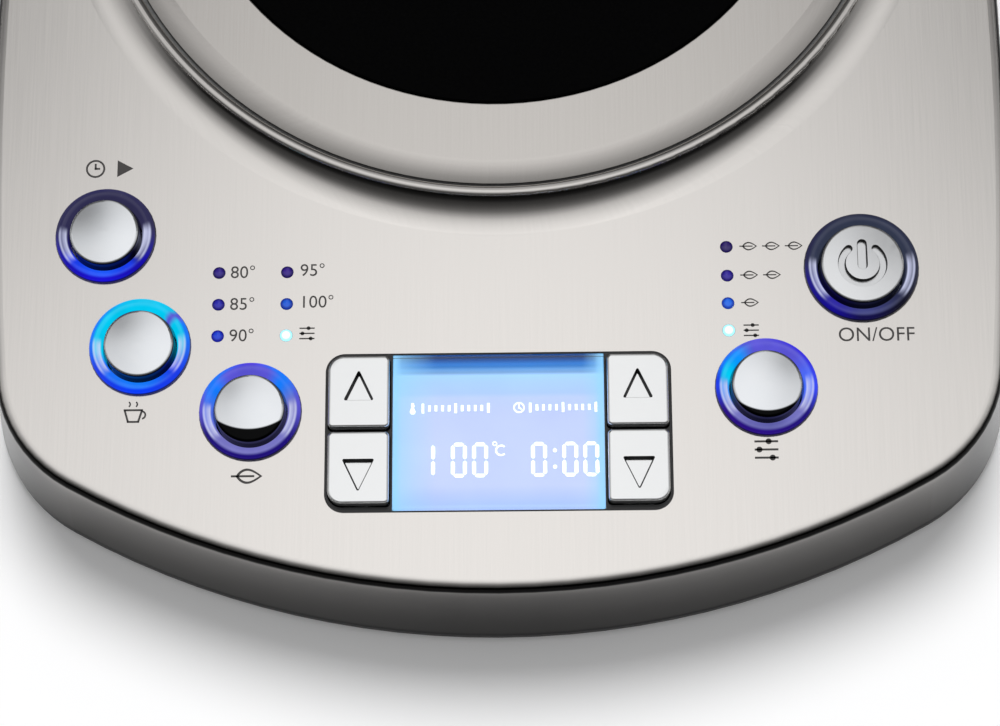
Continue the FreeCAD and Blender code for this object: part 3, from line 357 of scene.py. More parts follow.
dress(finish("window_acrylic", (0.95, 0.985, 1.0), (0.97, 0.995, 1.0), (0.01, 0.03), 40, 0.000001,
             more={"Transmission Weight": 1.0, "IOR": 1.49}), "display_window")


# ---- figures on the display -----------------------------------------------------------------
# Seven-segment figures, a degree sign and two small signs, switched clear in the glass, so that
# the backlight shines through them.
def stacked(shape, levels, wall_slot=0):
    """Closed solid from plan outlines at their heights, from the bottom up."""
    loops = [[shape.verts.new((x, y, height)) for x, y in outline] for outline, height in levels]
    shape.faces.new(loops[0])
    shape.faces.new(loops[-1])
    for under, over in zip(loops, loops[1:]):
        for k in range(len(under)):
            n = (k + 1) % len(under)
            shape.faces.new((under[k], under[n], over[n], over[k])).material_index = wall_slot


def closed_mesh(name, shape):
    """Mesh of a finished shape, with its faces turned outwards."""
    bmesh.ops.recalc_face_normals(shape, faces=shape.faces)
    mesh = bpy.data.meshes.new(name)
    shape.to_mesh(mesh)
    shape.free()
    return mesh


def flat_piece(name, outlines, height, material, thick=0.00002):
    """Thin plates from closed plan outlines, all at one height."""
    shape = bmesh.new()
    for outline in outlines:
        stacked(shape, [(outline, height), (outline, height + thick)])
    fitted(name, closed_mesh(name, shape), material, "base")


def figure(x, y, lit, width=0.0031, tall=0.0071, stroke=0.00075, gap=0.00012):
    """Outlines of one seven-segment figure centred on x, y; lit names its segments."""
    half_w, half_h, h = (width - stroke) / 2, (tall - stroke) / 2, stroke / 2
    flat_bars = {"a": half_h, "g": 0, "d": -half_h}
    upright_bars = {"f": (-half_w, 0), "b": (half_w, 0), "e": (-half_w, -half_h), "c": (half_w, -half_h)}
    out = []
    for bar in lit:
        length = width - stroke if bar in flat_bars else half_h
        edge = [(gap, 0), (gap + h, h), (length - h - gap, h), (length - gap, 0), (length - h - gap, -h), (gap + h, -h)]
        if bar in flat_bars:
            out.append([(x - half_w + along, y + flat_bars[bar] + across) for along, across in edge])
        else:
            left, foot = upright_bars[bar]
            out.append([(x + left + across, y + foot + along) for along, across in edge])
    return out


def arc(x, y, radius, start, end, steps=10):
    """Points along an arc between two angles in degrees."""
    turned_to = [math.radians(start + (end - start) * k / steps) for k in range(steps + 1)]
    return [(x + radius * math.cos(angle), y + radius * math.sin(angle)) for angle in turned_to]


def ring_outline(x, y, inner, outer, start=0.0, end=360.0, steps=28):
    """Plan outline of an arc band; a full turn is cut into two halves."""
    if end - start > 359:
        middle = (start + end) / 2
        return (ring_outline(x, y, inner, outer, start, middle, steps // 2)
                + ring_outline(x, y, inner, outer, middle, end, steps // 2))
    return [arc(x, y, outer, start, end, steps) + arc(x, y, inner, end, start, steps)]


def disc_outline(x, y, radius):
    return [arc(x, y, radius, 0, 360, 20)[:-1]]


def bar_outline(x0, y0, x1, y1, width):
    """Plan outline of a straight stroke."""
    length = math.dist((x0, y0), (x1, y1))
    ax, ay = (y0 - y1) / length * width / 2, (x1 - x0) / length * width / 2
    return [[(x0 + ax, y0 + ay), (x0 - ax, y0 - ay), (x1 - ax, y1 - ay), (x1 + ax, y1 + ay)]]


segment_light = finish("segment_light", tint(232, 242, 255)[:3], tint(250, 253, 255)[:3], (0.3, 0.5), 900, 0.000001,
                       more={"Emission Color": tint(245, 250, 255), "Emission Strength": 0.85})
glass_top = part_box("display_glass")[1].z + 0.00001
figures_y = seat_y - 0.13830
figures = figure(-0.01396, figures_y, "bc")
for middle in (-0.00777, -0.00364, 0.00782, 0.01389, 0.01798):
    figures += figure(middle, figures_y, "abcdef")
figures += disc_outline(0.01091, figures_y + 0.00181, 0.0004) + disc_outline(0.01091, figures_y - 0.00153, 0.0004)
figures += ring_outline(-0.00078, figures_y + 0.00327, 0.00025, 0.00048)
figures += ring_outline(0.00045, figures_y + 0.0019, 0.00080, 0.00115, 45, 315)
flat_piece("display_figures", figures, glass_top, segment_light)
signs_y = seat_y - 0.127673
left_sign, right_sign = -0.0168, 0.0040
thermometer = disc_outline(left_sign, signs_y - 0.00065, 0.00058)
thermometer += bar_outline(left_sign, signs_y - 0.0006, left_sign, signs_y + 0.00115, 0.0006)
clock = ring_outline(right_sign, signs_y, 0.00082, 0.00112)
clock += bar_outline(right_sign, signs_y - 0.0001, right_sign, signs_y + 0.0007, 0.00026)
clock += bar_outline(right_sign, signs_y, right_sign + 0.0005, signs_y - 0.0003, 0.00026)
ticks = []
for start in (left_sign + 0.0020, right_sign + 0.0022):
    for step in range(11):
        tick_x = start + 0.00128 * step
        tall = 0.0010 if step % 5 == 0 else 0.00062
        ticks += bar_outline(tick_x, signs_y - tall, tick_x, signs_y + tall, 0.00052)
flat_piece("display_signs", thermometer + clock + ticks, glass_top, segment_light)


# ---- panel frame ----------------------------------------------------------------------------
# Glossy black moulding that holds the window and the keys; its thin rim shows round them.
dress(finish("gloss_black", (0.004, 0.004, 0.005), (0.007, 0.007, 0.008), (0.10, 0.20), 600, 0.000004), "panel_frame")


# ---- key domes ------------------------------------------------------------------------------
# Silicone domes on the display board: they close the contact and push the key back up.
silicone = finish("silicone", (0.52, 0.52, 0.50), (0.62, 0.62, 0.60), (0.55, 0.75), 1300, 0.00002)


def turned(name, outline, x, y, steps, material):
    """Piece of revolution about an upright axis, from (radius, height) points."""
    shape = bmesh.new()
    rings = []
    for radius, height in outline:
        around = arc(x, y, radius, 0, 360, steps)[:-1] if radius > 1e-7 else [(x, y)]
        rings.append([shape.verts.new((*point, height)) for point in around])
    for lower, upper in zip(rings, rings[1:]):
        for k in range(steps):
            n = (k + 1) % steps
            if len(lower) == 1:
                shape.faces.new((lower[0], upper[k], upper[n]))
            elif len(upper) == 1:
                shape.faces.new((lower[k], lower[n], upper[0]))
            else:
                shape.faces.new((lower[k], lower[n], upper[n], upper[k]))
    mesh = closed_mesh(name, shape)
    mesh.shade_smooth()
    mesh.set_sharp_from_angle(angle=math.radians(38))
    return fitted(name, mesh, material, "base")


dome_foot = [(0.0, 0.0016), (0.0015, 0.0016), (0.0015, 0.0024), (0.0022, 0.0024), (0.0030, 0.0), (0.0044, 0.0),
             (0.0044, 0.0006), (0.0043, 0.0007)]
dome_wall = [(0.0035 - 0.0009 * (0.5 - 0.5 * math.cos(math.pi * k / 8)), 0.0007 + 0.0026 * k / 8) for k in range(9)]
dome_profile = dome_foot + dome_wall + [(0.0024, 0.00355), (0.0, 0.00355)]
for key in ("temperature_up", "temperature_down", "time_up", "time_down"):
    axis_x, axis_y, foot, top_z = middle_of(key + "_dome")
    outline = [(radius, foot + height) for radius, height in dome_profile]
    dome = turned(key + "_silicone_dome", outline, axis_x, axis_y, 48, silicone)
    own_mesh(dome)
    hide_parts(key + "_dome")


# ---- display keys ---------------------------------------------------------------------------
# Four satin-plated keys with rounded outer corners. A triangle is sunk into each by the moulding tool; its steep walls
# carry painted shade and its floor is plated.
key_plate = finish("key_plate", (0.955, 0.965, 0.97), (0.975, 0.985, 0.99), (0.16, 0.22), 700, 0.000002, metal=1.0)
# Near-black finish that paints shade on the steep walls of the sunk signs.
sign_shade = finish("sign_shade", (0.006, 0.006, 0.007), (0.012, 0.012, 0.013), (0.4, 0.55), 1500, 0.000004)


def carved(name, node, cutters, material):
    """A moving piece with its node's own shape and a sign cut into it; a cutter is outlines from the bottom up."""
    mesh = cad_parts[node].data.copy()
    mesh.name = name
    if "custom_normal" in mesh.attributes:
        mesh.attributes.remove(mesh.attributes["custom_normal"])
    shape = bmesh.new()
    shape.from_mesh(mesh)
    bmesh.ops.remove_doubles(shape, verts=shape.verts, dist=1e-7)
    shape.to_mesh(mesh)
    shape.free()
    mesh.materials.clear()
    piece = fitted(name, mesh, material, node)
    shape = bmesh.new()
    for levels in cutters:
        stacked(shape, levels, wall_slot=1)
    tool = into_scene(name + "_tool", closed_mesh(name + "_tool", shape))
    tool.data.materials.append(material)
    # The cutter's walls bring the painted shade onto the walls of the sign.
    tool.data.materials.append(sign_shade)
    cut = piece.modifiers.new("sign", "BOOLEAN")
    cut.operation = "DIFFERENCE"
    cut.solver = "EXACT"
    cut.material_mode = "TRANSFER"
    cut.object = tool
    result = bpy.data.meshes.new_from_object(piece.evaluated_get(bpy.context.evaluated_depsgraph_get()))
    piece.modifiers.clear()
    piece.data = result
    result.name = name
    bpy.data.objects.remove(tool)
    result.shade_smooth()
    result.set_sharp_from_angle(angle=math.radians(28))
    flats = piece.modifiers.new("flats", "WEIGHTED_NORMAL")
    flats.keep_sharp = True
    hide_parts(node)


def rounded_triangle(corners, inset, radius, steps=5):
    """The triangle with every side moved inwards and its corners rounded."""
    lines = []
    for k in range(3):
        (x0, y0), (x1, y1) = corners[k], corners[(k + 1) % 3]
        length = math.dist((x0, y0), (x1, y1))
        nx, ny = -(y1 - y0) / length, (x1 - x0) / length
        lines.append((x0 + nx * inset, y0 + ny * inset, (x1 - x0) / length, (y1 - y0) / length))
    out = []
    for k in range(3):
        ax, ay, adx, ady = lines[k - 1]
        bx, by, bdx, bdy = lines[k]
        t = ((bx - ax) * bdy - (by - ay) * bdx) / (adx * bdy - ady * bdx)
        tip_x, tip_y = ax + adx * t, ay + ady * t
        corner_turn = math.acos(max(-1.0, min(1.0, adx * bdx + ady * bdy)))
        back = radius * math.tan(corner_turn / 2)
        centre_x, centre_y = tip_x - adx * back - ady * radius, tip_y - ady * back + adx * radius
        first = math.degrees(math.atan2(-adx, ady))
        out += arc(centre_x, centre_y, radius, first, first + math.degrees(corner_turn), steps)
    return out


for way, apex, base, half_width in (("up", -0.1208, -0.1272, 0.0030), ("down", -0.1459, -0.1391, 0.0032)):
    for key in ("temperature_" + way + "_key", "time_" + way + "_key"):
        middle, _, _, key_top = middle_of(key)
        left, right = ((x, seat_y + base) for x in (middle - half_width, middle + half_width))
        tip = (middle, seat_y + apex)
        arrow = [tip, left, right] if way == "up" else [tip, right, left]
        levels = [(rounded_triangle(arrow, inset, radius), key_top + height) for inset, radius, height in (
            (0.00040, 0.00010, -0.0013), (0.00007, 0.00025, -0.00008), (-0.00016, 0.00034, 0.0002))]
        carved(key.replace("_key", "_plated_key"), key, [levels], key_plate)


# ---- light rings ----------------------------------------------------------------------------
# Clear acrylic rings that carry the lamps' blue light up round each button. Each is lit unevenly, as its lamps sit; the
# pale streaks on its rounded top are painted highlights, and painted shade darkens its inner and outer edges.
flange, play = 0.0014, 0.00035


def lit_ring(button, highlight_strength, slope, rim):
    """Finish of one ring: colours by clock angle for its inner slope and its outer rim, painted highlights as strong as
    the given number, and painted shade at its bore and outer edge.
    """
    low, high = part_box(button + "_light_ring")
    cap_low, cap_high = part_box(button + "_button")
    outer = (high.x - low.x) / 2 - flange
    bore = (cap_high.x - cap_low.x) / 2 + play
    material, tree, shader = blank(button + "_lit_ring")
    place = put(tree, "TexCoord", {}, "Object")
    centre = ((low.x + high.x) / 2, (low.y + high.y) / 2, 0.0)
    axes = xyz(tree, put(tree, "VectorMath", {0: place, 1: centre}, operation="SUBTRACT"))
    hour = span(tree, maths(tree, "ARCTAN2", axes["X"], axes["Y"]), -math.pi, math.pi)
    flat = put(tree, "CombineXYZ", {"X": axes["X"], "Y": axes["Y"]})
    share = span(tree, put(tree, "VectorMath", {0: flat}, "Value", operation="LENGTH"), bore, outer)
    to_rim = ramp(tree, share, [(0.55, 0.0), (0.80, 1.0)])
    body = blend(tree, to_rim, ramp(tree, hour, slope), ramp(tree, hour, rim))
    # Painted highlights: pale streaks on the lower left and the right of the ring.
    highlight_hours = ramp(tree, hour, [(0.12, 0.0), (0.16, 1.0), (0.25, 1.0), (0.285, 0.0),
                              (0.70, 0.0), (0.745, 1.0), (0.83, 1.0), (0.87, 0.0)])
    highlight_band = ramp(tree, share, [(0.10, 0.0), (0.22, 1.0), (0.34, 0.7), (0.50, 0.35), (0.62, 0.85), (0.76, 0.0)])
    painted_highlights = maths(tree, "MULTIPLY", maths(tree, "MULTIPLY", highlight_hours, highlight_band), highlight_strength)
    swirl = put(tree, "TexNoise", {"Vector": place, "Scale": 350.0})
    # Painted shade: the light is dimmed at the bore and at the outer edge.
    edge_shade = ramp(tree, share, [(0.0, 0.35), (0.06, 1.0), (0.935, 1.0), (0.985, 0.10)])
    fill(shader, {"Roughness": 0.06, "IOR": 1.38, "Base Color": tint(8, 8, 30),
                  "Emission Color": blend(tree, painted_highlights, body, tint(215, 220, 250)),
                  "Emission Strength": maths(tree, "MULTIPLY", span(tree, swirl, 0.0, 1.0, 0.8, 1.1), edge_shade)})
    dress(material, button + "_light_ring")


smoke, navy, blue, bright = tint(48, 46, 78), tint(30, 26, 100), tint(24, 60, 235), tint(30, 90, 255)
deep, violet, lavender, cyan = tint(18, 4, 170), tint(92, 86, 215), tint(120, 118, 195), tint(0, 205, 245)
azure, indigo, pale, royal = tint(20, 125, 255), tint(28, 8, 120), tint(168, 172, 205), tint(24, 10, 215)
ocean, plum, heather = tint(0, 60, 250), tint(40, 8, 130), tint(96, 96, 170)
# The pale stop at the right of the auto ring's slope is a painted highlight.
lit_ring("auto_start", 0.8,
         [(0.0, bright), (0.14, blue), (0.20, navy), (0.30, smoke), (0.5, smoke), (0.70, smoke), (0.76, pale),
          (0.84, navy), (0.90, blue), (1.0, bright)],
         [(0.0, royal), (0.15, deep), (0.28, smoke), (0.5, tint(44, 42, 84)), (0.72, smoke), (0.86, deep),
          (1.0, royal)])
lit_ring("keep_warm", 0.75,
         [(0.0, azure), (0.16, tint(30, 110, 250)), (0.24, cyan), (0.5, cyan), (0.60, cyan), (0.63, violet),
          (0.66, cyan), (0.74, cyan), (0.84, blue), (1.0, azure)],
         [(0.0, ocean), (0.15, blue), (0.30, azure), (0.5, cyan), (0.61, cyan), (0.64, violet), (0.68, azure),
          (0.86, blue), (1.0, ocean)])
lit_ring("tea", 0.8,
         [(0.0, lavender), (0.14, lavender), (0.24, tint(80, 110, 230)), (0.34, azure), (0.42, violet), (0.5, violet),
          (0.56, violet), (0.63, azure), (0.74, lavender), (0.86, lavender), (1.0, lavender)],
         [(0.0, indigo), (0.16, indigo), (0.27, violet), (0.36, azure), (0.5, tint(80, 60, 225)), (0.62, azure),
          (0.72, violet), (0.86, indigo), (1.0, indigo)])
lit_ring("custom", 0.75,
         [(0.0, heather), (0.15, lavender), (0.24, tint(60, 150, 250)), (0.30, cyan), (0.38, tint(10, 150, 255)),
          (0.46, violet), (0.6, violet), (0.75, tint(70, 110, 255)), (0.86, lavender), (1.0, heather)],
         [(0.0, plum), (0.16, plum), (0.26, blue), (0.34, azure), (0.46, violet), (0.62, tint(60, 50, 225)),
          (0.75, tint(50, 70, 245)), (0.86, indigo), (1.0, plum)])
lit_ring("power", 0.85,
         [(0.0, tint(66, 70, 130)), (0.10, tint(48, 42, 160)), (0.18, tint(50, 46, 140)), (0.28, tint(52, 58, 78)),
          (0.5, tint(50, 56, 74)), (0.74, tint(52, 58, 76)), (0.86, tint(44, 48, 74)), (1.0, tint(66, 70, 130))],
         [(0.0, tint(14, 8, 70)), (0.10, tint(18, 8, 140)), (0.19, tint(22, 12, 130)), (0.28, tint(40, 40, 70)),
          (0.5, tint(38, 42, 58)), (0.74, tint(40, 44, 60)), (0.88, tint(10, 10, 24)), (1.0, tint(14, 8, 70))])


# ---- button caps ----------------------------------------------------------------------------
# Bright chromed caps, slightly domed; the larger one is satin plated and has the on and off sign sunk into it, with
# painted shade on the sign's walls. Only the crown is bright: the side that runs in the ring has painted shade, and the
# tea and custom caps carry a painted reflection of the dark room near their front edge.
deck_z = cad_low.z + 0.028
crown_rise = 0.003


def crowned(name, dark, light, gloss, grain, shade=None):
    """Plating on the crown of a cap, with painted shade on its side; past an arc (x, y, radius) it carries a painted
    reflection of the dark room.
    """
    material = finish(name, dark, light, gloss, grain, 0.000001, metal=1.0)
    tree = material.node_tree
    shader = tree.nodes["Principled BSDF"]
    plating = shader.inputs["Base Color"].links[0].from_socket
    facing = xyz(tree, put(tree, "NewGeometry", {}, "Normal"))
    # Painted shade on the cap's side, where it faces away from up.
    painted_shades = [ramp(tree, facing["Z"], [(0.55, 0.015), (0.80, 1.0)])]
    # Painted reflection of the dark room past the given arc.
    if shade:
        x, y, radius = shade
        centre = (x, y, deck_z + crown_rise)
        reach = put(tree, "VectorMath", {0: put(tree, "TexCoord", {}, "Object"), 1: centre}, "Value",
                    operation="DISTANCE")
        painted_shades.append(span(tree, reach, radius - 0.00018, radius + 0.00018, 1.0, 0.006,
                          interpolation_type="SMOOTHSTEP"))
    for shade_mask in painted_shades:
        plating = put(tree, "VectorMath", {0: plating, "Scale": shade_mask}, operation="SCALE")
    fill(shader, {"Base Color": plating})
    return material


chrome_tones = ((0.86, 0.885, 0.92), (0.89, 0.91, 0.94), (0.13, 0.17), 260)
dress(crowned("chrome", *chrome_tones), "auto_start_button", "keep_warm_button")
for button, gap, sweep in (("tea", 0.00436, 0.0112), ("custom", 0.0056, 0.0090)):
    cap_x, cap_y, _, _ = middle_of(button + "_button")
    dress(crowned(button + "_chrome", *chrome_tones, shade=(cap_x, cap_y - gap + sweep, sweep)), button + "_button")
satin_plate = crowned("satin_plate", (0.87, 0.88, 0.90), (0.90, 0.91, 0.925), (0.20, 0.27), 900)
cap_x, cap_y, _, cap_top = middle_of("power_button")
crown_z = cap_top - 0.0001


def power_sign(grow):
    """Outlines of the sign's bar and of its open ring, made this much larger."""
    bar_r = 0.00095 + grow
    bar = arc(cap_x, cap_y + 0.0040, bar_r, 0, 180) + arc(cap_x, cap_y - 0.00045, bar_r, 180, 360)
    ring_y = cap_y - 0.00015
    ring_r, half = 0.0041, 0.00075 + grow
    first, last = 130, 410
    (first_x, first_y), (last_x, last_y) = arc(cap_x, ring_y, ring_r, first, last, 1)
    band = arc(cap_x, ring_y, ring_r + half, first, last, 60)
    band += arc(last_x, last_y, half, last, last + 180, 8)[1:-1]
    band += arc(cap_x, ring_y, ring_r - half, last, first, 60)
    band += arc(first_x, first_y, half, first + 180, first + 360, 8)[1:-1]
    return bar, band


cutters = [[], []]
for grow, height in ((-0.00016, -0.0010), (-0.00002, -0.00006), (0.00012, 0.00022)):
    for levels, outline in zip(cutters, power_sign(grow)):
        levels.append((outline, crown_z + height))
carved("power_plated_cap", "power_button", cutters, satin_plate)


# ---- indicator windows ----------------------------------------------------------------------
# The pipes' ends stand a hair above the deck. One in each group is lit; the others catch a
# little of the light inside.
lens_foot, lens_skirt, lens_top = deck_z - 0.00005, deck_z + 0.00005, deck_z + 0.00042
lens_r, crown_tall = 0.00120, lens_top - lens_skirt
lens_profile = [(0.0, lens_foot), (0.00118, lens_foot)]
for step in range(8):
    lean = math.pi * step / 16
    lens_profile.append((lens_r * math.cos(lean), lens_skirt + crown_tall * math.sin(lean)))
lens_profile.append((0.0, lens_top))


def lens(name, x, y, rim, core, strength=1.0):
    """Domed end of one light pipe, darker round its edge."""
    material, tree, shader = blank(name + "_light")
    from_middle = put(tree, "VectorMath", {0: put(tree, "TexCoord", {}, "Object"), 1: (x, y, lens_top)}, "Value",
                      operation="DISTANCE")
    rim, core = tint(*rim), tint(*core)
    light = ramp(tree, span(tree, from_middle, 0.0, 0.00124), [(0.0, core), (0.42, core), (0.80, rim), (1.0, rim)])
    fill(shader, {"Base Color": tint(16, 12, 50), "Roughness": 0.12, "Emission Strength": strength,
                  "Emission Color": light})
    turned(name, lens_profile, x, y, 28, material)


left_rows = (seat_y - 0.0995, seat_y - 0.1062, seat_y - 0.1128)
right_rows = (seat_y - 0.0951, seat_y - 0.1012, seat_y - 0.1070, seat_y - 0.1127)
for column, x, rows, lights in (
        ("left", -0.0552, left_rows, [((20, 6, 80), (44, 24, 122)), ((16, 8, 110), (34, 34, 158)),
                                      ((4, 22, 150), (14, 62, 200))]),
        ("middle", -0.0417, left_rows, [((22, 2, 80), (50, 22, 122)), ((10, 50, 150), (16, 88, 205)),
                                        ((150, 235, 255), (235, 255, 255), 1.6)]),
        ("right", 0.0453, right_rows, [((20, 2, 70), (44, 30, 86)), ((20, 6, 100), (46, 34, 140)),
                                       ((6, 60, 170), (26, 104, 222)), ((150, 235, 250), (235, 255, 255), 1.6)])):
    for number, (y, light) in enumerate(zip(rows, lights), 1):
        lens("lens_" + column + "_" + str(number), x, y, *light)


# ---- top cover ------------------------------------------------------------------------------
# One pressing of brushed stainless steel: flat deck, drawn collar round the seat, rolled edge and flared skirt. The
# brushing runs from front to back. Painted shade and reflection of the dark room darken the rolled edge, the skirt, the
# collar's roll and the cove outside it.
roll_foot = deck_z - 0.0024
cove_r, cove_from, cove_to = 0.085, -0.001, 0.009
# How much painted shade darkens the collar's roll.
bead_shade = 0.2


def brushed_steel(name, dark, light, walls, shade_from, at_edge=1.0, heights=((0.0, 1.0), (1.0, 1.0)), bead=None):
    """Steel brushed along Y. Outside a given reach from the seat's axis, painted shade and reflection of the dark room
    are put into its colour: walls by how far it faces up (with a bead, by its height above the roll's foot), heights
    by its share of the deck's height, and on the skirt a painted lighter and darker tone by how far it faces sideways.
    bead is the radius, height and thickness of the collar's roll, which gets painted shade, as does the cove outside
    it, most towards the front."""
    material, tree, shader = blank(name)
    do = partial(maths, tree)
    place = xyz(tree, put(tree, "TexCoord", {}, "Object"))
    behind = do("SUBTRACT", place["Y"], seat_y)
    radius = do("SQRT", do("ADD", do("MULTIPLY", place["X"], place["X"]), do("MULTIPLY", behind, behind)))
    normal = put(tree, "NewGeometry", {}, "Normal")
    if bead:
        bead_r, bead_z, bead_thick = bead
        # The roll's facing is worked out from its place, which is smoother than the mesh's own.
        lean = do("MULTIPLY", do("SUBTRACT", radius, bead_r + 0.00012), 0.85)
        outward = put(tree, "CombineXYZ", {"X": do("DIVIDE", do("MULTIPLY", place["X"], lean), radius),
                                           "Y": do("DIVIDE", do("MULTIPLY", behind, lean), radius),
                                           "Z": do("SUBTRACT", place["Z"], bead_z)})
        rounded = put(tree, "VectorMath", {0: outward}, operation="NORMALIZE")
        on_bead = do("MULTIPLY", do("LESS_THAN", radius, bead_r + bead_thick + 0.00001),
                     do("GREATER_THAN", place["Z"], bead_z + 0.00002))
        normal = put(tree, "Mix", {"Factor": on_bead, 4: normal, 5: rounded}, 1, data_type="VECTOR")
    turn = xyz(tree, normal)
    side = do("ABSOLUTE", turn["X"])
    sheet = put(tree, "CombineXYZ", {"X": do("ADD", place["X"], do("MULTIPLY", side, place["Z"])), "Y": place["Y"]})
    fine = put(tree, "Mapping", {"Vector": sheet, "Scale": (3200, 45, 1)})
    strokes = put(tree, "TexNoise", {"Vector": fine, "Scale": 1.0, "Detail": 3.0}, noise_dimensions="2D")
    steel = ramp(tree, strokes, [(0.25, (*dark, 1.0)), (0.75, (*light, 1.0))], smooth=False)
    # Painted shade and reflection of the dark room, by facing or height on the roll, and by height on the skirt.
    steep = ramp(tree, span(tree, place["Z"], roll_foot, deck_z) if bead else turn["Z"], walls, smooth=False)
    by_height = ramp(tree, span(tree, place["Z"], 0.0, deck_z), heights, smooth=False)
    # Painted light and shade on the skirt by how far it faces sideways.
    flank = ramp(tree, side, [(0.05, 1.0), (0.22, 1.55), (0.5, 2.2), (0.66, 1.4), (0.8, 0.6), (1.0, 0.3)],
                 smooth=False)
    on_skirt = do("LESS_THAN", place["Z"], roll_foot + 0.0001)
    round_corners = do("MULTIPLY_ADD", do("SUBTRACT", flank, 1.0), on_skirt, 1.0)
    painted_shade = do("MULTIPLY", do("MULTIPLY", steep, by_height), round_corners)
    tone = put(tree, "Mix", {"Factor": span(tree, radius, shade_from, shade_from + 0.001), "A": 1.0, "B": painted_shade},
               data_type="FLOAT")
    if bead:
        # Painted shade: towards the front the cove is darker, from just outside the roll.
        to_front = do("DIVIDE", behind, radius)
        narrowed = do("MULTIPLY_ADD", span(tree, to_front, -1.0, -0.5), 2.2, 1.0)
        past_bead = do("MULTIPLY", do("SUBTRACT", radius, cove_r), narrowed)
        cove = ramp(tree, span(tree, past_bead, cove_from, cove_to), [
            (0.07, 1.0), (0.095, 0.03), (0.15, 0.09), (0.20, 0.24), (0.25, 0.27), (0.30, 0.30), (0.35, 0.36),
            (0.40, 0.50), (0.45, 0.63), (0.50, 0.76), (0.55, 0.81), (0.65, 0.87), (0.75, 0.93), (0.85, 1.0)],
            smooth=False)
        front_shade = do("MULTIPLY", span(tree, to_front, -0.38, -0.72), do("SUBTRACT", 1.0, cove))
        tone = do("MULTIPLY", tone, do("SUBTRACT", 1.0, front_shade))
        # Painted shade on the collar's roll.
        tone = do("MULTIPLY", tone, do("SUBTRACT", 1.0, do("MULTIPLY", on_bead, bead_shade)))
    flats = ramp(tree, turn["Z"], [(0.97, 0.0), (0.999, 0.05)])
    fill(shader, {
        "Metallic": 1.0, "Anisotropic": 0.3, "Specular Tint": (at_edge, at_edge, at_edge, 1.0),
        "Roughness": span(tree, strokes, 0.0, 1.0, 0.16, 0.21),
        "Base Color": put(tree, "VectorMath", {0: steel, "Scale": tone}, operation="SCALE"),
        "Normal": put(tree, "Bump", {"Distance": 0.00002, "Height": strokes, "Strength": flats, "Normal": normal}),
        "Tangent": put(tree, "CombineXYZ", {"X": 1.0})})
    return material


# Painted shade: a dark line on the rolled edge, and a skirt that darkens towards its foot.
cover_walls = [(0.0, 0.19), (0.16, 0.19), (0.20, 0.12), (0.24, 0.0), (0.74, 0.01), (0.80, 0.55), (0.86, 1.0)]
cover_heights = [(0.0, 0.01), (0.172, 0.01), (0.186, 0.22), (0.73, 0.49), (0.832, 0.61), (0.875, 0.73), (0.918, 1.0)]
dress(brushed_steel("cover_steel", (0.877, 0.844, 0.811), (0.913, 0.878, 0.845), cover_walls, 0.094, at_edge=0.82,
                    heights=cover_heights, bead=(0.08385, 0.0305, 0.0011)), "top_cover")


# ---- seat -----------------------------------------------------------------------------------
# Steel annulus with a soft shoulder that rolls down into the collar, a gasket under it, and the
# black moulded centre disc.
# Painted shade: the shoulder darkens as it turns down towards the collar.
plate_walls = [(0.0, 0.45), (0.895, 0.60), (0.93, 0.68), (0.964, 0.70), (0.985, 0.76), (0.992, 0.80), (0.997, 0.88),
               (1.0, 1.0)]
dress(brushed_steel("plate_steel", (0.675, 0.644, 0.613), (0.715, 0.684, 0.653), plate_walls, 0.0762), "seat_plate")
dress(finish("gasket_grey", (0.10, 0.10, 0.10), (0.14, 0.14, 0.14), (0.5, 0.7), 1500, 0.00002), "seat_gasket")
dress(finish("disc_black", (0.0008, 0.0008, 0.0009), (0.0014, 0.0014, 0.0015), (0.5, 0.65), 1500, 0.00001,
             more={"Specular IOR Level": 0.02}), "seat_disc")


# ---- printed marks --------------------------------------------------------------------------
# Pad-printed in dark grey on the steel: plain figures by the windows, a small sign by each
# button, and ON/OFF under the larger one.
mark_ink = finish("mark_ink", (0.045, 0.042, 0.042), (0.065, 0.062, 0.060), (0.5, 0.7), 3000, 0.000001)
ink_z = deck_z + 0.000005


def words(name, text, x, y, size=0.0036, align="LEFT"):
    """Printed figures or letters; x, y is the left or middle of their baseline."""
    curve = bpy.data.curves.new(name, "FONT")
    curve.body = text
    curve.size = size
    curve.align_x = align
    curve.extrude = 0.00001
    curve.space_character = 1.02
    typed = into_scene(name + "_type", curve)
    mesh = bpy.data.meshes.new_from_object(typed.evaluated_get(bpy.context.evaluated_depsgraph_get()))
    bpy.data.objects.remove(typed)
    mesh.name = name
    mesh.materials.clear()
    piece = fitted(name, mesh, mark_ink, "base")
    piece.location = (x, y, ink_z + 0.00001)


for degrees, x, row, drop in (("80", -0.0530, 0, 0.0011), ("85", -0.0530, 1, 0.0011), ("90", -0.0530, 2, 0.0011),
                              ("95", -0.0392, 0, 0.0008), ("100", -0.0392, 1, 0.0008)):
    words("mark_" + degrees, degrees + "°", x, left_rows[row] - drop)
words("mark_on_off", "ON/OFF", 0.0742, seat_y - 0.11517, 0.0041, "CENTER")


def mark(name, outlines):
    flat_piece("mark_" + name, outlines, ink_z, mark_ink)


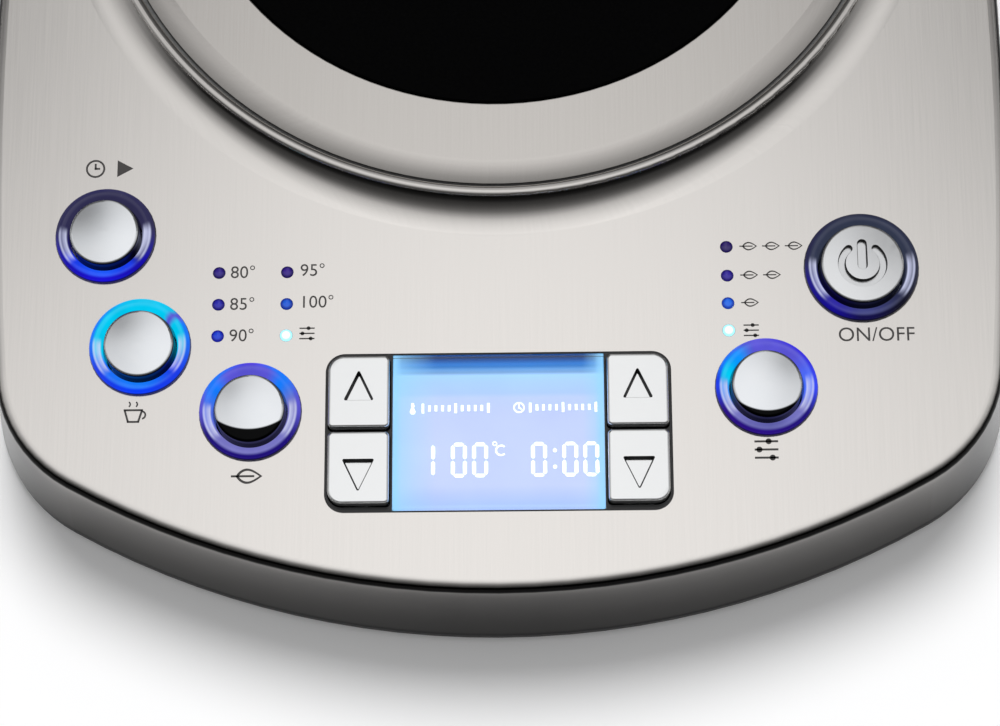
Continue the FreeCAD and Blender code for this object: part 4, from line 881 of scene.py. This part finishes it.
def sliders(x, y, size):
    """Three setting bars, each with its knob."""
    out = []
    for k, knob in ((-1, 0.25), (0, -0.3), (1, 0.1)):
        level = y + k * size * 0.36
        out += bar_outline(x - size / 2, level, x + size / 2, level, size * 0.09)
        out += disc_outline(x + knob * size, level, size * 0.13)
    return out


def leaf(x, y, size):
    """Tea leaf: two arcs that meet in a point, and a stalk."""
    def edge(length, depth):
        return [(x + length * size * (k / 12 - 0.5), y + depth * size * math.sin(math.pi * (k / 12) ** 0.8))
                for k in range(13)]
    out = [edge(1.0, way * 0.30) + edge(0.78, way * 0.21)[::-1] for way in (1, -1)]
    return out + bar_outline(x - size * 0.675, y, x + size * 0.2, y, size * 0.08)


clock_x, clock_y = -0.0806, seat_y - 0.076873
mark("clock", ring_outline(clock_x, clock_y, 0.00155, 0.00195)
     + bar_outline(clock_x, clock_y - 0.0002, clock_x, clock_y + 0.0011, 0.0004)
     + bar_outline(clock_x - 0.0002, clock_y, clock_x + 0.0009, clock_y, 0.0004))
mark("start", [[(-0.0762, clock_y - 0.0018), (-0.0730, clock_y), (-0.0762, clock_y + 0.0018)]])
cup_x, cup_y = -0.0713, seat_y - 0.129173
cup = []
for x0, y0, x1, y1 in ((-0.0019, 0.0012, 0.0019, 0.0012), (-0.0017, 0.0012, -0.0010, -0.0012),
                       (0.0017, 0.0012, 0.0010, -0.0012), (-0.0012, -0.0012, 0.0012, -0.0012)):
    cup += bar_outline(cup_x + x0, cup_y + y0, cup_x + x1, cup_y + y1, 0.0004)
cup += ring_outline(cup_x + 0.0016, cup_y + 0.0002, 0.0006, 0.00095, -80, 80, 12)
for steam_x in (-0.0012, 0.0002):
    cup += ring_outline(cup_x + steam_x, cup_y + 0.0024, 0.0004, 0.0007, -60, 60, 8)
mark("keep_warm", cup)
mark("tea", leaf(-0.0484, seat_y - 0.141673, 0.0052))
mark("custom", sliders(0.0519, seat_y - 0.137273, 0.0046))
mark("custom_left", sliders(-0.0376, left_rows[2] + 0.0004, 0.0030))
mark("custom_right", sliders(0.0497, right_rows[3], 0.0030))
for row, count in zip(right_rows, (3, 2, 1)):
    mark("strength_" + str(count), sum((leaf(0.0499 + 0.0045 * k, row + 0.0001, 0.0030) for k in range(count)), []))
